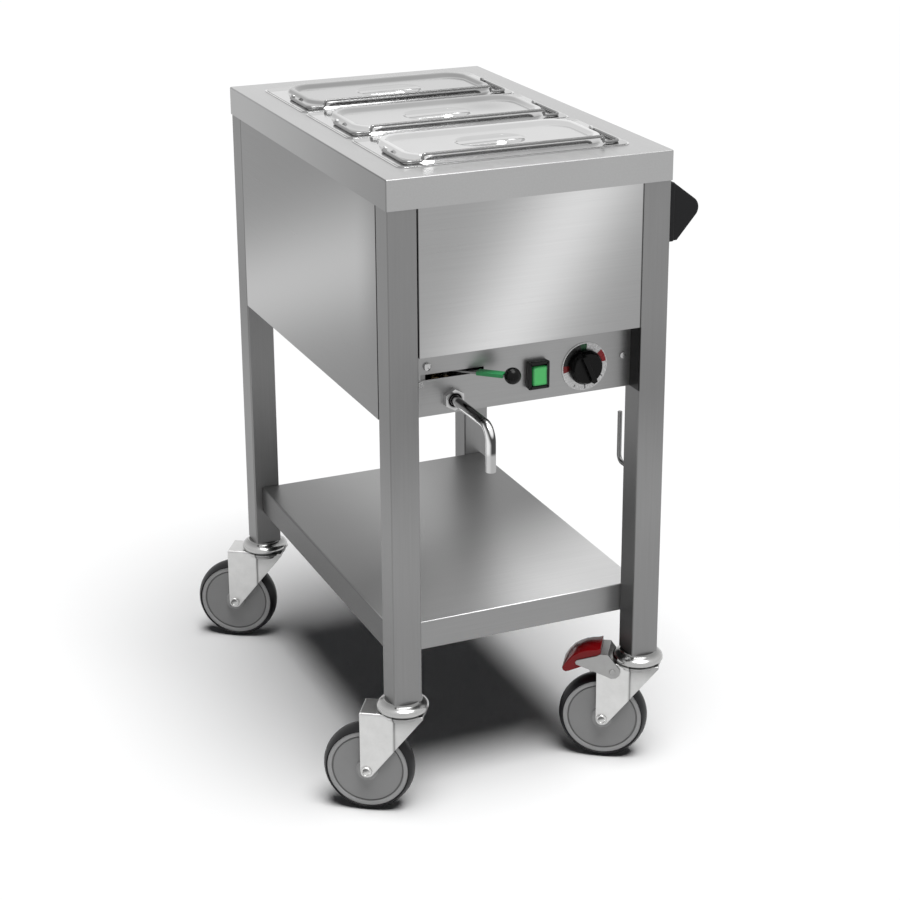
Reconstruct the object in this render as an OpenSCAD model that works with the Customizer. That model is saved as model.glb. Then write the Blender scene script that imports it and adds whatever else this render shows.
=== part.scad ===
// Heated serving trolley: a bain-marie well for three food pans on a tube frame with swivel casters.
// The control side faces -Y, the push handle is on the +X side, and the wheels stand on Z = 0.

/* [Worktop] */
// Height of the worktop above the floor
top_h = 880; // [860:5:940]
// Width of the worktop's border in front of the pans and behind them
deck_end = 45; // [40:1:75]
// Width of the worktop's border beside the pans
deck_side = 36; // [28:1:57]
// Height of the worktop's turned-down edge
deck_edge_h = 40; // [30:1:60]
// Sheet thickness of the worktop
deck_t = 1.5; // [1:0.1:3]

/* [Frame] */
// Outer width of the square leg tube
leg_w = 40; // [36:1:44]
// Wall of the leg tube
leg_t = 1.5; // [1:0.1:3]
// Sheet thickness of the panels
panel_t = 1.5; // [1:0.1:2]
// Gap at each seam beside a leg
seam = 0.6; // [0.3:0.1:1.5]
// Depth of the panels below the worktop
skirt_h = 323; // [300:1:360]
// Depth of the front panel below the worktop
front_h = 234; // [215:1:245]
// How far the control panel is set back from the legs
ctrl_recess = 27; // [20:1:28]
// Height of the shelf above the floor
shelf_z = 261; // [230:1:340]
// Height of the shelf's turned-down edge
shelf_edge_h = 40; // [30:1:60]
// How far the shelf's long edges are set in from the legs
shelf_inset = 12; // [6:1:20]
// Sheet thickness of the shelf
shelf_t = 1.2; // [1:0.1:2]

/* [Well and pans] */
// Length of the pan set, over the flanges
gn_l = 530; // [520:1:536]
// Width of the pan set, over the flanges
gn_w = 325; // [320:1:330]
// Gap between neighbouring pan flanges
pan_gap = 0.7; // [0.4:0.1:2]
// Flange width of a pan
pan_lip = 12.5; // [11:0.5:16]
// Depth of a pan
pan_d = 150; // [65:5:170]
// Wall of a pan
pan_t = 1; // [0.8:0.1:1.5]
// Depth of the well
well_d = 200; // [180:1:210]
// Wall of the well
well_t = 1.2; // [1:0.1:2]
// Height of a lid's raised middle
lid_rise = 7; // [4:0.5:14]
// Sheet thickness of a lid
lid_t = 1; // [0.8:0.1:1.2]
// Diameter of the bail wire
bail_d = 4; // [3:0.1:5]

/* [Controls] */
// Distance of the thermostat from the trolley's middle
dial_x = 89; // [82:1:100]
// Distance of the switch from the trolley's middle
switch_x = 19; // [10:1:30]
// Distance of the drain spout from the trolley's middle
spout_x = -100; // [-100:1:-94]
// Diameter of the thermostat's dial plate
dial_d = 66; // [60:1:70]
// Diameter of the thermostat knob
knob_d = 47; // [42:1:54]
// Outside diameter of the drain spout
spout_d = 13; // [12:0.5:16]
// How far the spout reaches in front of the control panel
spout_reach = 120; // [90:1:130]
// Gap between the drain lever's ball and the plane of the legs' fronts
lever_clear = 1.7; // [1.5:0.1:8]
// Angle of the drain lever to the right when it is shut
lever_turn = 47; // [47:1:52]

/* [Push handle] */
// How far the handle reaches out from the legs
handle_reach = 45; // [44:1:70]
// Height of a handle bracket
bracket_h = 79; // [76:1:100]
// Diameter of the handle bar
bar_d = 22; // [20:0.5:25]

/* [Casters] */
// Height of a caster from the floor to the leg
caster_h = 167; // [165:1:185]
// Diameter of a wheel
wheel_d = 125; // [120:1:128]
// Width of a tyre
wheel_w = 32; // [28:1:34]
// Distance from a caster's swivel axis to its axle
trail = 47; // [42:1:50]
// Direction in which the casters trail, in degrees from the -X axis
caster_turn = 33; // [0:1:60]
// Thickness of the fork sheet
fork_t = 2.5; // [2:0.1:3.5]

/* [Hidden] */

// Overrun of every cut, running clearance, sliding clearance, and facets of round shapes
over = 1;
run_gap = 0.05;
fit_gap = 0.3;
weld_gap = 0.05;
controls_w = 325;
spread = gn_w / controls_w;
dial_at = dial_x * spread;
switch_at = switch_x * spread;
spout_at = spout_x * spread;
fine = 64;
soft = 32;

// Frame sizes that follow
deck_l = gn_l + 2 * deck_end;
deck_w = gn_w + 2 * deck_side;
frame_l = deck_l - 2 * deck_t;
frame_w = deck_w - 2 * deck_t;
leg_x = (frame_w - leg_w) / 2;
leg_y = (frame_l - leg_w) / 2;
leg_top = top_h - deck_t;
leg_r = 2.5;
bay_x = frame_w - 2 * leg_w;
bay_y = frame_l - 2 * leg_w;
panel_z = top_h - skirt_h;
front_z = top_h - front_h;
panel_tuck = 30;
panel_top = top_h - deck_edge_h + panel_tuck;
ctrl_y = -frame_l / 2 + ctrl_recess;
ctrl_back = ctrl_y + panel_t;
ctrl_rise = 44;
ctrl_top = front_z + ctrl_rise;
return_w = 16;

// Well and pan sizes that follow
pan_pitch = gn_l / 3;
pan_l = pan_pitch - pan_gap;
open_play = 1.6;
open_w = gn_w - 2 * pan_lip + 2 * open_play;
open_l = gn_l - 2 * pan_lip + 2 * open_play;
open_r = 16;
pan_r = 14;
pan_body_r = 14;
well_rim = 8;
lip_h = 4;
lip_play = 0.8;
well_floor = leg_top - well_d;
rim_top = top_h + pan_t;
lid_back = 2.5;
lid_w = gn_w - 2 * lid_back;
lid_l = pan_l - 2 * lid_back;
lid_r = pan_r - lid_back;
dome_in_w = 21;
dome_in_l = 19;
dome_foot_w = gn_w - 2 * dome_in_w;
dome_foot_l = pan_l - 2 * dome_in_l;
dome_slope = 4;
dome_slice = 0.06;
dome_r = 34;
lid_top = rim_top + lid_t;
dome_top = lid_top + lid_rise;
floor_d = 5;
floor_slope_w = 4;
floor_slope_l = 16;
floor_rim = 5;
floor_w = dome_foot_w - 2 * (dome_slope + floor_rim + floor_slope_w);
floor_l = dome_foot_l - 2 * (dome_slope + floor_rim + floor_slope_l);
floor_r = 24;
floor_edge_r = 30;
floor_top = dome_top - floor_d;
grip_w = 92;
grip_l = 54;
grip_d = 12;
grip_bar = 15;
bail_x = gn_w / 2 - pan_lip;
bail_y = pan_l / 2 - pan_lip;
bail_bend = 9;
bail_z = lid_top + bail_d / 2 + fit_gap;
bail_step = 8;
bail_step_at = 24;
bail_step_bend = 3.5;
bail_join = 16;
ear_t = 2.5;
ear_w = 9;
ear_rim = 2;
ear_x = bail_x - bail_d / 2 - fit_gap;
stack_y = [-pan_pitch, 0, pan_pitch];

// Drain sizes that follow
spout_t = 1.5;
spout_z = panel_z + 20;
spout_bend = 20;
spout_drop = 58;
valve_back = 21;
valve_y = ctrl_back + valve_back;
valve_l = 34;
valve_d = 30;
valve_bore = spout_d - 2 * spout_t;
valve_ball_d = 19;
nose_wall = 3;
nose_d = spout_d + 2 * nose_wall;
nose_l = 6;
nut_af = nose_d + 2 * nose_wall;
nut_t = 9;
lever_rise = 33;
lever_z = spout_z + lever_rise;
lever_t = 2.5;
lever_w = 11;
stem_d = 8;
stem_top_d = 6;
stem_wall = 4;
stem_free = 8;
pipe_seat = 8;
spout_seat = 2;
sleeve_t = 1.2;
sleeve_l = 36;
lever_ball_d = 22;
lever_l = (ctrl_recess + panel_t + valve_back + lever_ball_d / 2 + lever_clear) / cos(lever_turn);
lever_socket = 12;
slot_h = 7.5;
slot_l = 88;
pipe_d = 18;
pipe_t = 1.5;
pipe_bend = 14;
drain_run = 4;
drain_y = valve_y + valve_l / 2 + pipe_bend + drain_run;
outlet_wall = 3;
outlet_d = pipe_d + 2 * outlet_wall;
outlet_l = 22;

// Control sizes that follow
control_z = (panel_z + front_z) / 2 - 8;
dial_t = 1;
knob_h = 12;
knob_taper = 3;
knob_grip_w = 9;
knob_grip_h = 7;
knob_turn = 24;
knob_floor = 4;
spindle_d = 6;
spindle_l = 14;
thermo_w = 40;
thermo_d = 24;
probe_d = 6;
probe_l = 80;
capillary_d = 2;
capillary_bend = 8;
thermo_probe_y = -130;
bezel_w = 30;
bezel_h = 38;
bezel_t = 10;
switch_w = 24;
switch_h = 34;
switch_d = 26;
rocker_w = 20;
rocker_r = 12.4;
rocker_flat = 5;
rocker_pin_d = 3;
rocker_pin_l = 2;
rocker_gap = 0.4;
rocker_proud = 1.5;
rocker_tilt = 7;
limiter_x = spout_at - 35;
limiter_z = control_z + 31;
limiter_d = 11;
limiter_h = 4;
limiter_dome_r = 8.25;
limiter_neck = 8;
limiter_body_d = 13;
limiter_body_l = 18;
ctrl_screw_x = bay_x / 2 - 12;
ctrl_screw_z = (panel_z + front_z) / 2;
screw_d = 4;
screw_head_d = 8;
screw_head_h = 2.6;
screw_l = 10;
tab_w = 20;
tab_h = 24;
tab_t = 3;
heater_d = 8.5;
heater_bend = 22;
heater_run_y = 205;
heater_x = 96;
heater_tail_y = -238;
block_l = 60;
block_w = 24;
block_h = 20;
block_in = 70.5;
block_y = frame_l / 2 - block_in;
block_bore = 6;
block_share = 0.3;
gland_x = 100;
gland_rise = 45;
gland_z = panel_z + gland_rise;
gland_bore = 8;
gland_thread_d = 16;
gland_flange_d = 24;
gland_flange_t = 4;
gland_cap_d = 21;
gland_cap_l = 16;
gland_tail = 10;
gland_nut_t = 5;
cover_t = 1;
cover_screw_y = 180;

// Handle, hook and bracket sizes that follow
bracket_w = 28;
bracket_base_t = 8;
bracket_base_w = 33;
bracket_r = 15.5;
bracket_drop = 5;
bracket_top = top_h - deck_edge_h - bracket_drop;
bracket_mid_share = 0.468;
bracket_nose_z = bracket_top - bracket_h * bracket_mid_share;
bracket_nose_x = frame_w / 2 + handle_reach - bracket_r;
bracket_toe = 14;
bracket_step = 3.5;
bracket_y = leg_y;
bar_socket = 12;
bar_t = 1.5;
handle_screw_d = 5;
handle_screw_head = 9;
handle_screw_top = 14;
handle_screw_low = 10;
handle_screw_in = 10;
handle_screw_zs = [bracket_top - handle_screw_top, bracket_top - bracket_h + handle_screw_low];
hook_d = 6.5;
hook_reach = 49;
hook_h = 72;
hook_bend = 10;
hook_drop = 456;
hook_z = top_h - hook_drop;

// Caster sizes that follow
axle_z = wheel_d / 2;
rim_d = wheel_d - 14;
hub_w = wheel_w - 3;
boss_d = 30;
boss_w = wheel_w + 4;
sleeve_d = 12;
bolt_d = 8;
bolt_head_d = 15;
bolt_head_h = 3.5;
bolt_nut_af = 13;
bolt_nut_h = 6.5;
groove_w = 1.6;
groove_deep = 1.2;
groove_in = 6.5;
crown_r = 26;
fork_gap = 1;
cheek_in = boss_w / 2 + fork_gap;
cheek_out = cheek_in + fork_t;
crown_top = caster_h - 17;
crown_t = 3;
race_r = 35;
race_top_r = 24;
race_wall = 2.5;
race_gap = 1.2;
race_lip = 7;
race_drop = caster_h - crown_top - race_gap;
ball_d = 6;
ball_ring_r = 24;
ball_count = 12;
king_d = 12;
king_head_d = 20;
king_head_t = 5;
plug_l = 45;
cheek_back = 8.5;
cheek_toe = 10;
cheek_front = 31;
cheek_slope = 40;
brake_pivot_x = -33;
brake_drop = 11.5;
brake_pivot_z = crown_top - brake_drop;
brake_pin_d = 6;
brake_pin_head = 9;
brake_pin_head_t = 1.5;
brake_t = 2;
brake_gap = 0.5;
brake_arm_x = -82;
brake_arm_rise = 11;
brake_web_x = -50;
brake_web_l = 11;
brake_web_rise = 26;
brake_boss_r = 11;
brake_tip_r = 3.5;
shoe_x = -66;
shoe_t = 4;
shoe_w = 24;
shoe_lift = 6;
shoe_rise = 3.5;
pedal_tip = [-99, -0.5];
pedal_tip_r = 5;
pedal_back = [-57.5, 13.5];
pedal_low = [-50, 19.5];
pedal_top = [-50, 33.5];
pedal_crest = [-72, 30.5];
pedal_brow = [-90, 21];

// The origin is under the middle of the whole trolley's outline, so the frame stands off it
reach_left = leg_x + trail * cos(caster_turn) + axle_z * cos(caster_turn) + wheel_w / 2 * sin(caster_turn);
reach_right = frame_w / 2 + handle_reach;
reach_front = spout_reach - ctrl_y + spout_d / 2;
reach_back = leg_y + trail * sin(caster_turn) + axle_z * sin(caster_turn) + wheel_w / 2 * cos(caster_turn);
stand_x = (reach_left - reach_right) / 2;
stand_y = (reach_front - reach_back) / 2;

// Places of the legs: front left, front right, rear left, rear right
corners = [[-leg_x, -leg_y], [leg_x, -leg_y], [-leg_x, leg_y], [leg_x, leg_y]];

module stand() {
    translate([stand_x, stand_y, 0]) children();
}

// A rectangle with true round corners
module round_rect(w, l, r) {
    square([w - 2 * r, l], center = true);
    square([w, l - 2 * r], center = true);
    for (sx = [-1, 1], sy = [-1, 1])
        translate([sx * (w / 2 - r), sy * (l / 2 - r)]) circle(r, $fn = fine);
}

// A block with its low corner in x, y and z
module block(low, size) {
    translate(low) cube(size);
}

// A round bar along Y, from y0 to y1
module y_rod(x, y0, y1, z, d) {
    translate([x, y0, z]) rotate([-90, 0, 0]) cylinder(h = y1 - y0, d = d, $fn = fine);
}

// A round bar along X, from x0 to x1
module x_rod(x0, x1, y, z, d) {
    translate([x0, y, z]) rotate([0, 90, 0]) cylinder(h = x1 - x0, d = d, $fn = fine);
}

// An outline in X and Z, drawn out along Y and centred on it
module xz_slab(w) {
    rotate([90, 0, 0]) translate([0, 0, -w / 2]) linear_extrude(w) children();
}

function heading(p, q) = atan2(q[1] - p[1], q[0] - p[0]);
function wrap(a) = a > 180 ? a - 360 : (a < -180 ? a + 360 : a);
function turn_at(p, i) = wrap(heading(p[i], p[i + 1]) - heading(p[i - 1], p[i]));
function bend(r, i) = is_list(r) ? r[i] : r;
function set_back(p, i, r) = i == 0 || i == len(p) - 1 ? 0 : bend(r, i) * tan(abs(turn_at(p, i)) / 2);

// A round rod of diameter d along a flat path; r is the radius of its bends, or a list of radii
module bent_rod(p, r, d) {
    for (i = [0 : len(p) - 2]) {
        a = heading(p[i], p[i + 1]);
        b0 = set_back(p, i, r);
        b1 = set_back(p, i + 1, r);
        translate([p[i][0] + b0 * cos(a), p[i][1] + b0 * sin(a), 0])
            rotate([0, 90, a])
                cylinder(h = norm(p[i + 1] - p[i]) - b0 - b1, d = d, $fn = soft);
    }
    if (len(p) > 2) {
        for (i = [1 : len(p) - 2]) {
            t = turn_at(p, i);
            s = sign(t);
            a0 = heading(p[i - 1], p[i]);
            b = set_back(p, i, r);
            c = s * bend(r, i);
            start = s > 0 ? a0 - 90 : a0 + 90 + t;
            translate([p[i][0] - b * cos(a0) - c * sin(a0), p[i][1] - b * sin(a0) + c * cos(a0), 0])
                rotate(start)
                    rotate_extrude(angle = abs(t), $fn = fine)
                        translate([bend(r, i), 0]) circle(d = d, $fn = soft);
        }
    }
}

// Worktop sheet with its edges turned down and an opening for the pans
module deck() {
    color("silver") stand() difference() {
        block([-deck_w / 2, -deck_l / 2, top_h - deck_edge_h], [deck_w, deck_l, deck_edge_h]);
        block([-frame_w / 2, -frame_l / 2, top_h - deck_edge_h - over],
            [frame_w, frame_l, deck_edge_h - deck_t + over]);
        translate([0, 0, top_h - deck_t - over])
            linear_extrude(deck_t + 2 * over) round_rect(open_w, open_l, open_r);
    }
}

// One leg tube, standing on its caster
module leg() {
    translate([0, 0, caster_h]) linear_extrude(leg_top - caster_h) difference() {
        round_rect(leg_w, leg_w, leg_r);
        round_rect(leg_w - 2 * leg_t, leg_w - 2 * leg_t, leg_r - leg_t);
    }
}

// Tab behind the control panel, welded to the inner face of a front leg; s is 1 on the right
module leg_tab(s) {
    difference() {
        block([s > 0 ? bay_x / 2 - tab_w : -bay_x / 2, ctrl_back, ctrl_screw_z - tab_h / 2],
            [tab_w, tab_t, tab_h]);
        y_rod(s * ctrl_screw_x, ctrl_back - over, ctrl_back + tab_t + over, ctrl_screw_z,
            screw_d + 2 * run_gap);
    }
}

module legs() {
    color("darkgray") stand() {
        for (c = corners) difference() {
            translate([c[0], c[1], 0]) leg();
            if (c[0] > 0)
                for (z = handle_screw_zs)
                    x_rod(frame_w / 2 - leg_t - over, frame_w / 2 + over, c[1], z,
                        handle_screw_d + 2 * run_gap);
        }
        for (s = [-1, 1]) leg_tab(s);
    }
}

// Front panel, flush with the legs, with its lower edge turned back to the control panel
module front_panel() {
    w = bay_x - 2 * seam;
    color("gainsboro") stand() {
        block([-w / 2, -frame_l / 2, front_z], [w, panel_t, panel_top - front_z]);
        block([-w / 2, -frame_l / 2, front_z], [w, ctrl_recess - run_gap, panel_t]);
    }
}

// Control panel, set back between the legs, with holes for what it carries
module control_panel() {
    w = bay_x - 2 * run_gap;
    color("silver") stand() difference() {
        union() {
            block([-w / 2, ctrl_y, panel_z], [w, panel_t, ctrl_top - panel_z]);
            block([-w / 2, ctrl_y, panel_z], [w, return_w, panel_t]);
        }
        y_rod(spout_at, ctrl_y - over, ctrl_back + over, spout_z, nose_d + 2 * fit_gap);
        block([spout_at - slot_l / 2, ctrl_y - over, lever_z - slot_h / 2],
            [slot_l, panel_t + 2 * over, slot_h]);
        y_rod(dial_at, ctrl_y - over, ctrl_back + over, control_z, spindle_d + 2 * fit_gap);
        y_rod(limiter_x, ctrl_y - over, ctrl_back + over, limiter_z, limiter_neck + 2 * fit_gap);
        block([switch_at - switch_w / 2 - fit_gap, ctrl_y - over, control_z - switch_h / 2 - fit_gap],
              [switch_w + 2 * fit_gap, panel_t + 2 * over, switch_h + 2 * fit_gap]);
        for (s = [-1, 1])
            y_rod(s * ctrl_screw_x, ctrl_y - over, ctrl_back + over, ctrl_screw_z, screw_d + 2 * fit_gap);
    }
}

// One side panel between its legs, with its lower edge turned in
module side_panel(s) {
    l = bay_y - 2 * seam;
    difference() {
        union() {
            block([s > 0 ? frame_w / 2 - panel_t : -frame_w / 2, -l / 2, panel_z],
                [panel_t, l, panel_top - panel_z]);
            block([s > 0 ? frame_w / 2 - return_w : -frame_w / 2, -l / 2, panel_z],
                [return_w, l, panel_t]);
        }
        cover_holes(fit_gap);
    }
}

module side_panels() {
    color("silver") stand() {
        side_panel(-1);
        side_panel(1);
    }
}

// Rear panel with the hole for the cable gland
module rear_panel() {
    w = bay_x - 2 * seam;
    color("silver") stand() difference() {
        union() {
            block([-w / 2, frame_l / 2 - panel_t, panel_z], [w, panel_t, panel_top - panel_z]);
            block([-w / 2, frame_l / 2 - return_w, panel_z], [w, return_w, panel_t]);
        }
        y_rod(gland_x, frame_l / 2 - panel_t - over, frame_l / 2 + over, gland_z,
            gland_thread_d + 2 * fit_gap);
    }
}

// Holes of the screws that hold the base cover to the side panels, with a given gap round the screw
module cover_holes(gap) {
    for (sx = [-1, 1], sy = [-1, 1])
        translate([sx * (frame_w / 2 - return_w / 2), sy * cover_screw_y, panel_z - over])
            cylinder(h = panel_t + cover_t + 2 * over, d = screw_d + 2 * gap, $fn = soft);
}

// Cover that closes the heated box from below, lying on the turned-in edges
module base_cover() {
    w = frame_w - 2 * panel_t - 2 * fit_gap;
    l = bay_y - 2 * fit_gap;
    nw = bay_x - 2 * fit_gap;
    z = panel_z + panel_t;
    color("darkgray") stand() difference() {
        union() {
            block([-w / 2, -l / 2, z], [w, l, cover_t]);
            block([-nw / 2, ctrl_back + fit_gap, z],
                [nw, frame_l / 2 - panel_t - ctrl_back - 2 * fit_gap, cover_t]);
        }
        cover_holes(run_gap);
    }
}

// Shelf tray with its four edges turned down, fixed between the legs
module shelf() {
    w = frame_w - 2 * shelf_inset;
    color("gray") stand() difference() {
        block([-w / 2, -bay_y / 2, shelf_z - shelf_edge_h], [w, bay_y, shelf_edge_h]);
        block([-w / 2 + shelf_t, -bay_y / 2 + shelf_t, shelf_z - shelf_edge_h - over],
              [w - 2 * shelf_t, bay_y - 2 * shelf_t, shelf_edge_h - shelf_t + over]);
    }
}

// Well that holds the hot water, hung from the worktop by its rim
module well() {
    color("lightgray") stand() difference() {
        union() {
            translate([0, 0, leg_top - well_t])
                linear_extrude(well_t)
                    round_rect(open_w + 2 * well_rim, open_l + 2 * well_rim, open_r + well_rim);
            translate([0, 0, well_floor + weld_gap])
                linear_extrude(well_d - weld_gap)
                    round_rect(open_w + 2 * well_t, open_l + 2 * well_t, open_r + well_t);
        }
        translate([0, 0, well_floor])
            linear_extrude(well_d + over) round_rect(open_w, open_l, open_r);
    }
}

// Floor of the well, welded under its walls, with the drain socket
module well_base() {
    color("lightgray") stand() difference() {
        union() {
            translate([0, 0, well_floor - well_t])
                linear_extrude(well_t)
                    round_rect(open_w + 2 * well_t, open_l + 2 * well_t, open_r + well_t);
            translate([spout_at, drain_y, well_floor - well_t - outlet_l])
                cylinder(h = outlet_l + well_t, d = outlet_d, $fn = fine);
        }
        translate([spout_at, drain_y, well_floor - well_t - outlet_l - over])
            cylinder(h = outlet_l + well_t + 2 * over, d = pipe_d + 2 * run_gap, $fn = fine);
    }
}

// Tubular heating element under the floor of the well
module heater() {
    z = well_floor - well_t - heater_d / 2;
    path = [
        [heater_x / 4, heater_tail_y], [heater_x / 4, heater_run_y - 2 * heater_bend],
        [-heater_x / 4, heater_run_y - 2 * heater_bend], [-heater_x / 4, heater_tail_y + 3 * heater_bend],
        [-heater_x * 3 / 4, heater_tail_y + 3 * heater_bend], [-heater_x * 3 / 4, heater_run_y],
        [heater_x * 3 / 4, heater_run_y], [heater_x * 3 / 4, heater_tail_y]
    ];
    color("dimgray") stand() translate([0, 0, z]) bent_rod(path, heater_bend, heater_d);
}

// Pipe from the well's drain socket down and forward into the valve
module drain_pipe() {
    top = well_floor - well_t - fit_gap;
    back = valve_y + valve_l / 2 - pipe_seat;
    path = [[back, spout_z], [drain_y, spout_z], [drain_y, top]];
    color("goldenrod") stand() translate([spout_at, 0, 0]) rotate([90, 0, 90]) difference() {
        bent_rod(path, pipe_bend, pipe_d);
        bent_rod([[back - over, spout_z], [drain_y, spout_z], [drain_y, top + over]], pipe_bend,
            pipe_d - 2 * pipe_t);
    }
}

// Ball valve behind the control panel, with its threaded nose through the panel
module valve_body() {
    y0 = valve_y - valve_l / 2;
    y1 = valve_y + valve_l / 2;
    color("goldenrod") stand() difference() {
        union() {
            y_rod(spout_at, ctrl_back, y1, spout_z, valve_d);
            y_rod(spout_at, ctrl_y - nose_l, y0 + over, spout_z, nose_d);
            translate([spout_at, valve_y, spout_z])
                cylinder(h = lever_z - spout_z - lever_t / 2 - stem_free,
                    d = stem_d + 2 * stem_wall, $fn = fine);
        }
        y_rod(spout_at, ctrl_y - nose_l - over, y1 + over, spout_z, valve_bore);
        y_rod(spout_at, y1 - pipe_seat, y1 + over, spout_z, pipe_d + 2 * run_gap);
        y_rod(spout_at, ctrl_y - nose_l - over, ctrl_y + spout_seat, spout_z, spout_d + 2 * run_gap);
        translate([spout_at, valve_y, spout_z]) sphere(d = valve_ball_d + 2 * fit_gap, $fn = fine);
        translate([spout_at, valve_y, spout_z])
            cylinder(h = lever_z, d = stem_d + 2 * run_gap, $fn = fine);
    }
}

// Spout in front of the panel: a level run, a bend and a short drop, with its union nut
module drain_spout() {
    inner_end = ctrl_y + spout_seat;
    tip_z = spout_z - spout_drop;
    bend_y = ctrl_y - spout_reach;
    color("silver") stand() {
        translate([spout_at, 0, 0]) rotate([90, 0, 90]) difference() {
            bent_rod([[inner_end, spout_z], [bend_y, spout_z], [bend_y, tip_z]], spout_bend, spout_d);
            bent_rod([[inner_end + over, spout_z], [bend_y, spout_z], [bend_y, tip_z - over]],
                     spout_bend, spout_d - 2 * spout_t);
        }
        difference() {
            translate([spout_at, ctrl_y - fit_gap, spout_z]) rotate([90, 30, 0])
                cylinder(h = nut_t, d = nut_af / cos(30), $fn = 6);
            y_rod(spout_at, ctrl_y - nose_l - fit_gap, ctrl_y + over, spout_z, nose_d + 2 * fit_gap);
            y_rod(spout_at, ctrl_y - nut_t - fit_gap - over, ctrl_y, spout_z, spout_d + 2 * run_gap);
        }
    }
}

// Puts a shape drawn along +X from the valve's stem at the lever's height and angle
module at_lever() {
    translate([spout_at, valve_y, lever_z]) rotate([0, 0, lever_turn - 90]) children();
}

// Flat lever with the valve's stem and ball
module drain_lever() {
    color("silver") stand() {
        at_lever() difference() {
            union() {
                block([0, -lever_w / 2, -lever_t / 2],
                    [lever_l - lever_ball_d / 2 + lever_socket, lever_w, lever_t]);
                translate([0, 0, -lever_t / 2])
                    cylinder(h = lever_t, d = lever_w + stem_d / 2, $fn = fine);
            }
            translate([0, 0, -lever_t]) cylinder(h = 2 * lever_t, d = stem_top_d, $fn = fine);
        }
        difference() {
            union() {
                translate([spout_at, valve_y, spout_z])
                    cylinder(h = lever_z - spout_z - lever_t / 2, d = stem_d, $fn = fine);
                translate([spout_at, valve_y, spout_z])
                    cylinder(h = lever_z - spout_z + lever_t, d = stem_top_d, $fn = fine);
                translate([spout_at, valve_y, spout_z]) sphere(d = valve_ball_d, $fn = fine);
            }
            x_rod(spout_at - valve_ball_d, spout_at + valve_ball_d, valve_y, spout_z, valve_bore);
        }
    }
}

// Plastic sleeve on the lever, between the slot and the ball
module lever_sleeve() {
    from = lever_l - lever_ball_d / 2 - sleeve_l - fit_gap;
    color("limegreen") stand() at_lever() difference() {
        block([from, -lever_w / 2 - sleeve_t, -lever_t / 2 - sleeve_t],
              [sleeve_l, lever_w + 2 * sleeve_t, lever_t + 2 * sleeve_t]);
        block([from - over, -lever_w / 2, -lever_t / 2], [sleeve_l + 2 * over, lever_w, lever_t]);
    }
}

// Ball at the lever's end
module lever_knob() {
    color("black") stand() at_lever() difference() {
        translate([lever_l, 0, 0]) sphere(d = lever_ball_d, $fn = fine);
        block([0, -lever_w / 2, -lever_t / 2],
            [lever_l - lever_ball_d / 2 + lever_socket, lever_w, lever_t]);
    }
}

// Thermostat behind the panel, with its spindle and its probe on a capillary tube
module thermostat() {
    probe_z = well_floor - well_t - probe_d / 2;
    back = ctrl_back + thermo_d * 3 / 4;
    color("dimgray") stand() {
        block([dial_at - thermo_w / 2, ctrl_back, control_z - thermo_w / 2],
            [thermo_w, thermo_d, thermo_w]);
        y_rod(dial_at, ctrl_y - dial_t - spindle_l, ctrl_back, control_z, spindle_d);
        translate([dial_at, 0, 0]) rotate([90, 0, 90]) {
            bent_rod([[back, control_z + thermo_w / 2], [back, probe_z], [thermo_probe_y, probe_z]],
                     capillary_bend, capillary_d);
            bent_rod([[thermo_probe_y, probe_z], [thermo_probe_y + probe_l, probe_z]],
                capillary_bend, probe_d);
        }
    }
}

// Scale plate around the thermostat knob
module dial_plate() {
    color("whitesmoke") stand() difference() {
        y_rod(dial_at, ctrl_y - dial_t, ctrl_y, control_z, dial_d);
        y_rod(dial_at, ctrl_y - dial_t - over, ctrl_y + over, control_z, spindle_d + 2 * fit_gap);
    }
}

// Thermostat knob with a raised grip across its face
module thermostat_knob() {
    face = ctrl_y - dial_t - fit_gap;
    color("black") stand() difference() {
        union() {
            translate([dial_at, face, control_z]) rotate([90, 0, 0])
                rotate_extrude($fn = fine)
                    polygon([[0, 0], [knob_d / 2, 0], [knob_d / 2, knob_h / 3],
                             [knob_d / 2 - knob_taper, knob_h], [0, knob_h]]);
            translate([dial_at, face - knob_h - knob_grip_h, control_z]) rotate([0, -knob_turn, 0])
                block([-knob_grip_w / 2, 0, -knob_d / 2 + knob_taper],
                      [knob_grip_w, knob_grip_h + over, knob_d - 2 * knob_taper]);
        }
        y_rod(dial_at, face - knob_h - knob_grip_h + knob_floor, face + over, control_z, spindle_d + 2 * run_gap);
    }
}

// Switch housing: bezel in front of the panel, body behind it, and a round pocket for the rocker
module switch_housing() {
    front = ctrl_y - bezel_t;
    pivot_y = front + rocker_flat - rocker_proud;
    color("dimgray") stand() difference() {
        union() {
            block([switch_at - bezel_w / 2, front, control_z - bezel_h / 2], [bezel_w, bezel_t, bezel_h]);
            block([switch_at - switch_w / 2, ctrl_y - over, control_z - switch_h / 2],
                  [switch_w, panel_t + switch_d + over, switch_h]);
        }
        x_rod(switch_at - rocker_w / 2 - rocker_gap, switch_at + rocker_w / 2 + rocker_gap,
              pivot_y, control_z, 2 * (rocker_r + rocker_gap));
        x_rod(switch_at - rocker_w / 2 - rocker_pin_l - rocker_gap,
            switch_at + rocker_w / 2 + rocker_pin_l + rocker_gap,
              pivot_y, control_z, rocker_pin_d + 2 * run_gap);
    }
}

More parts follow.
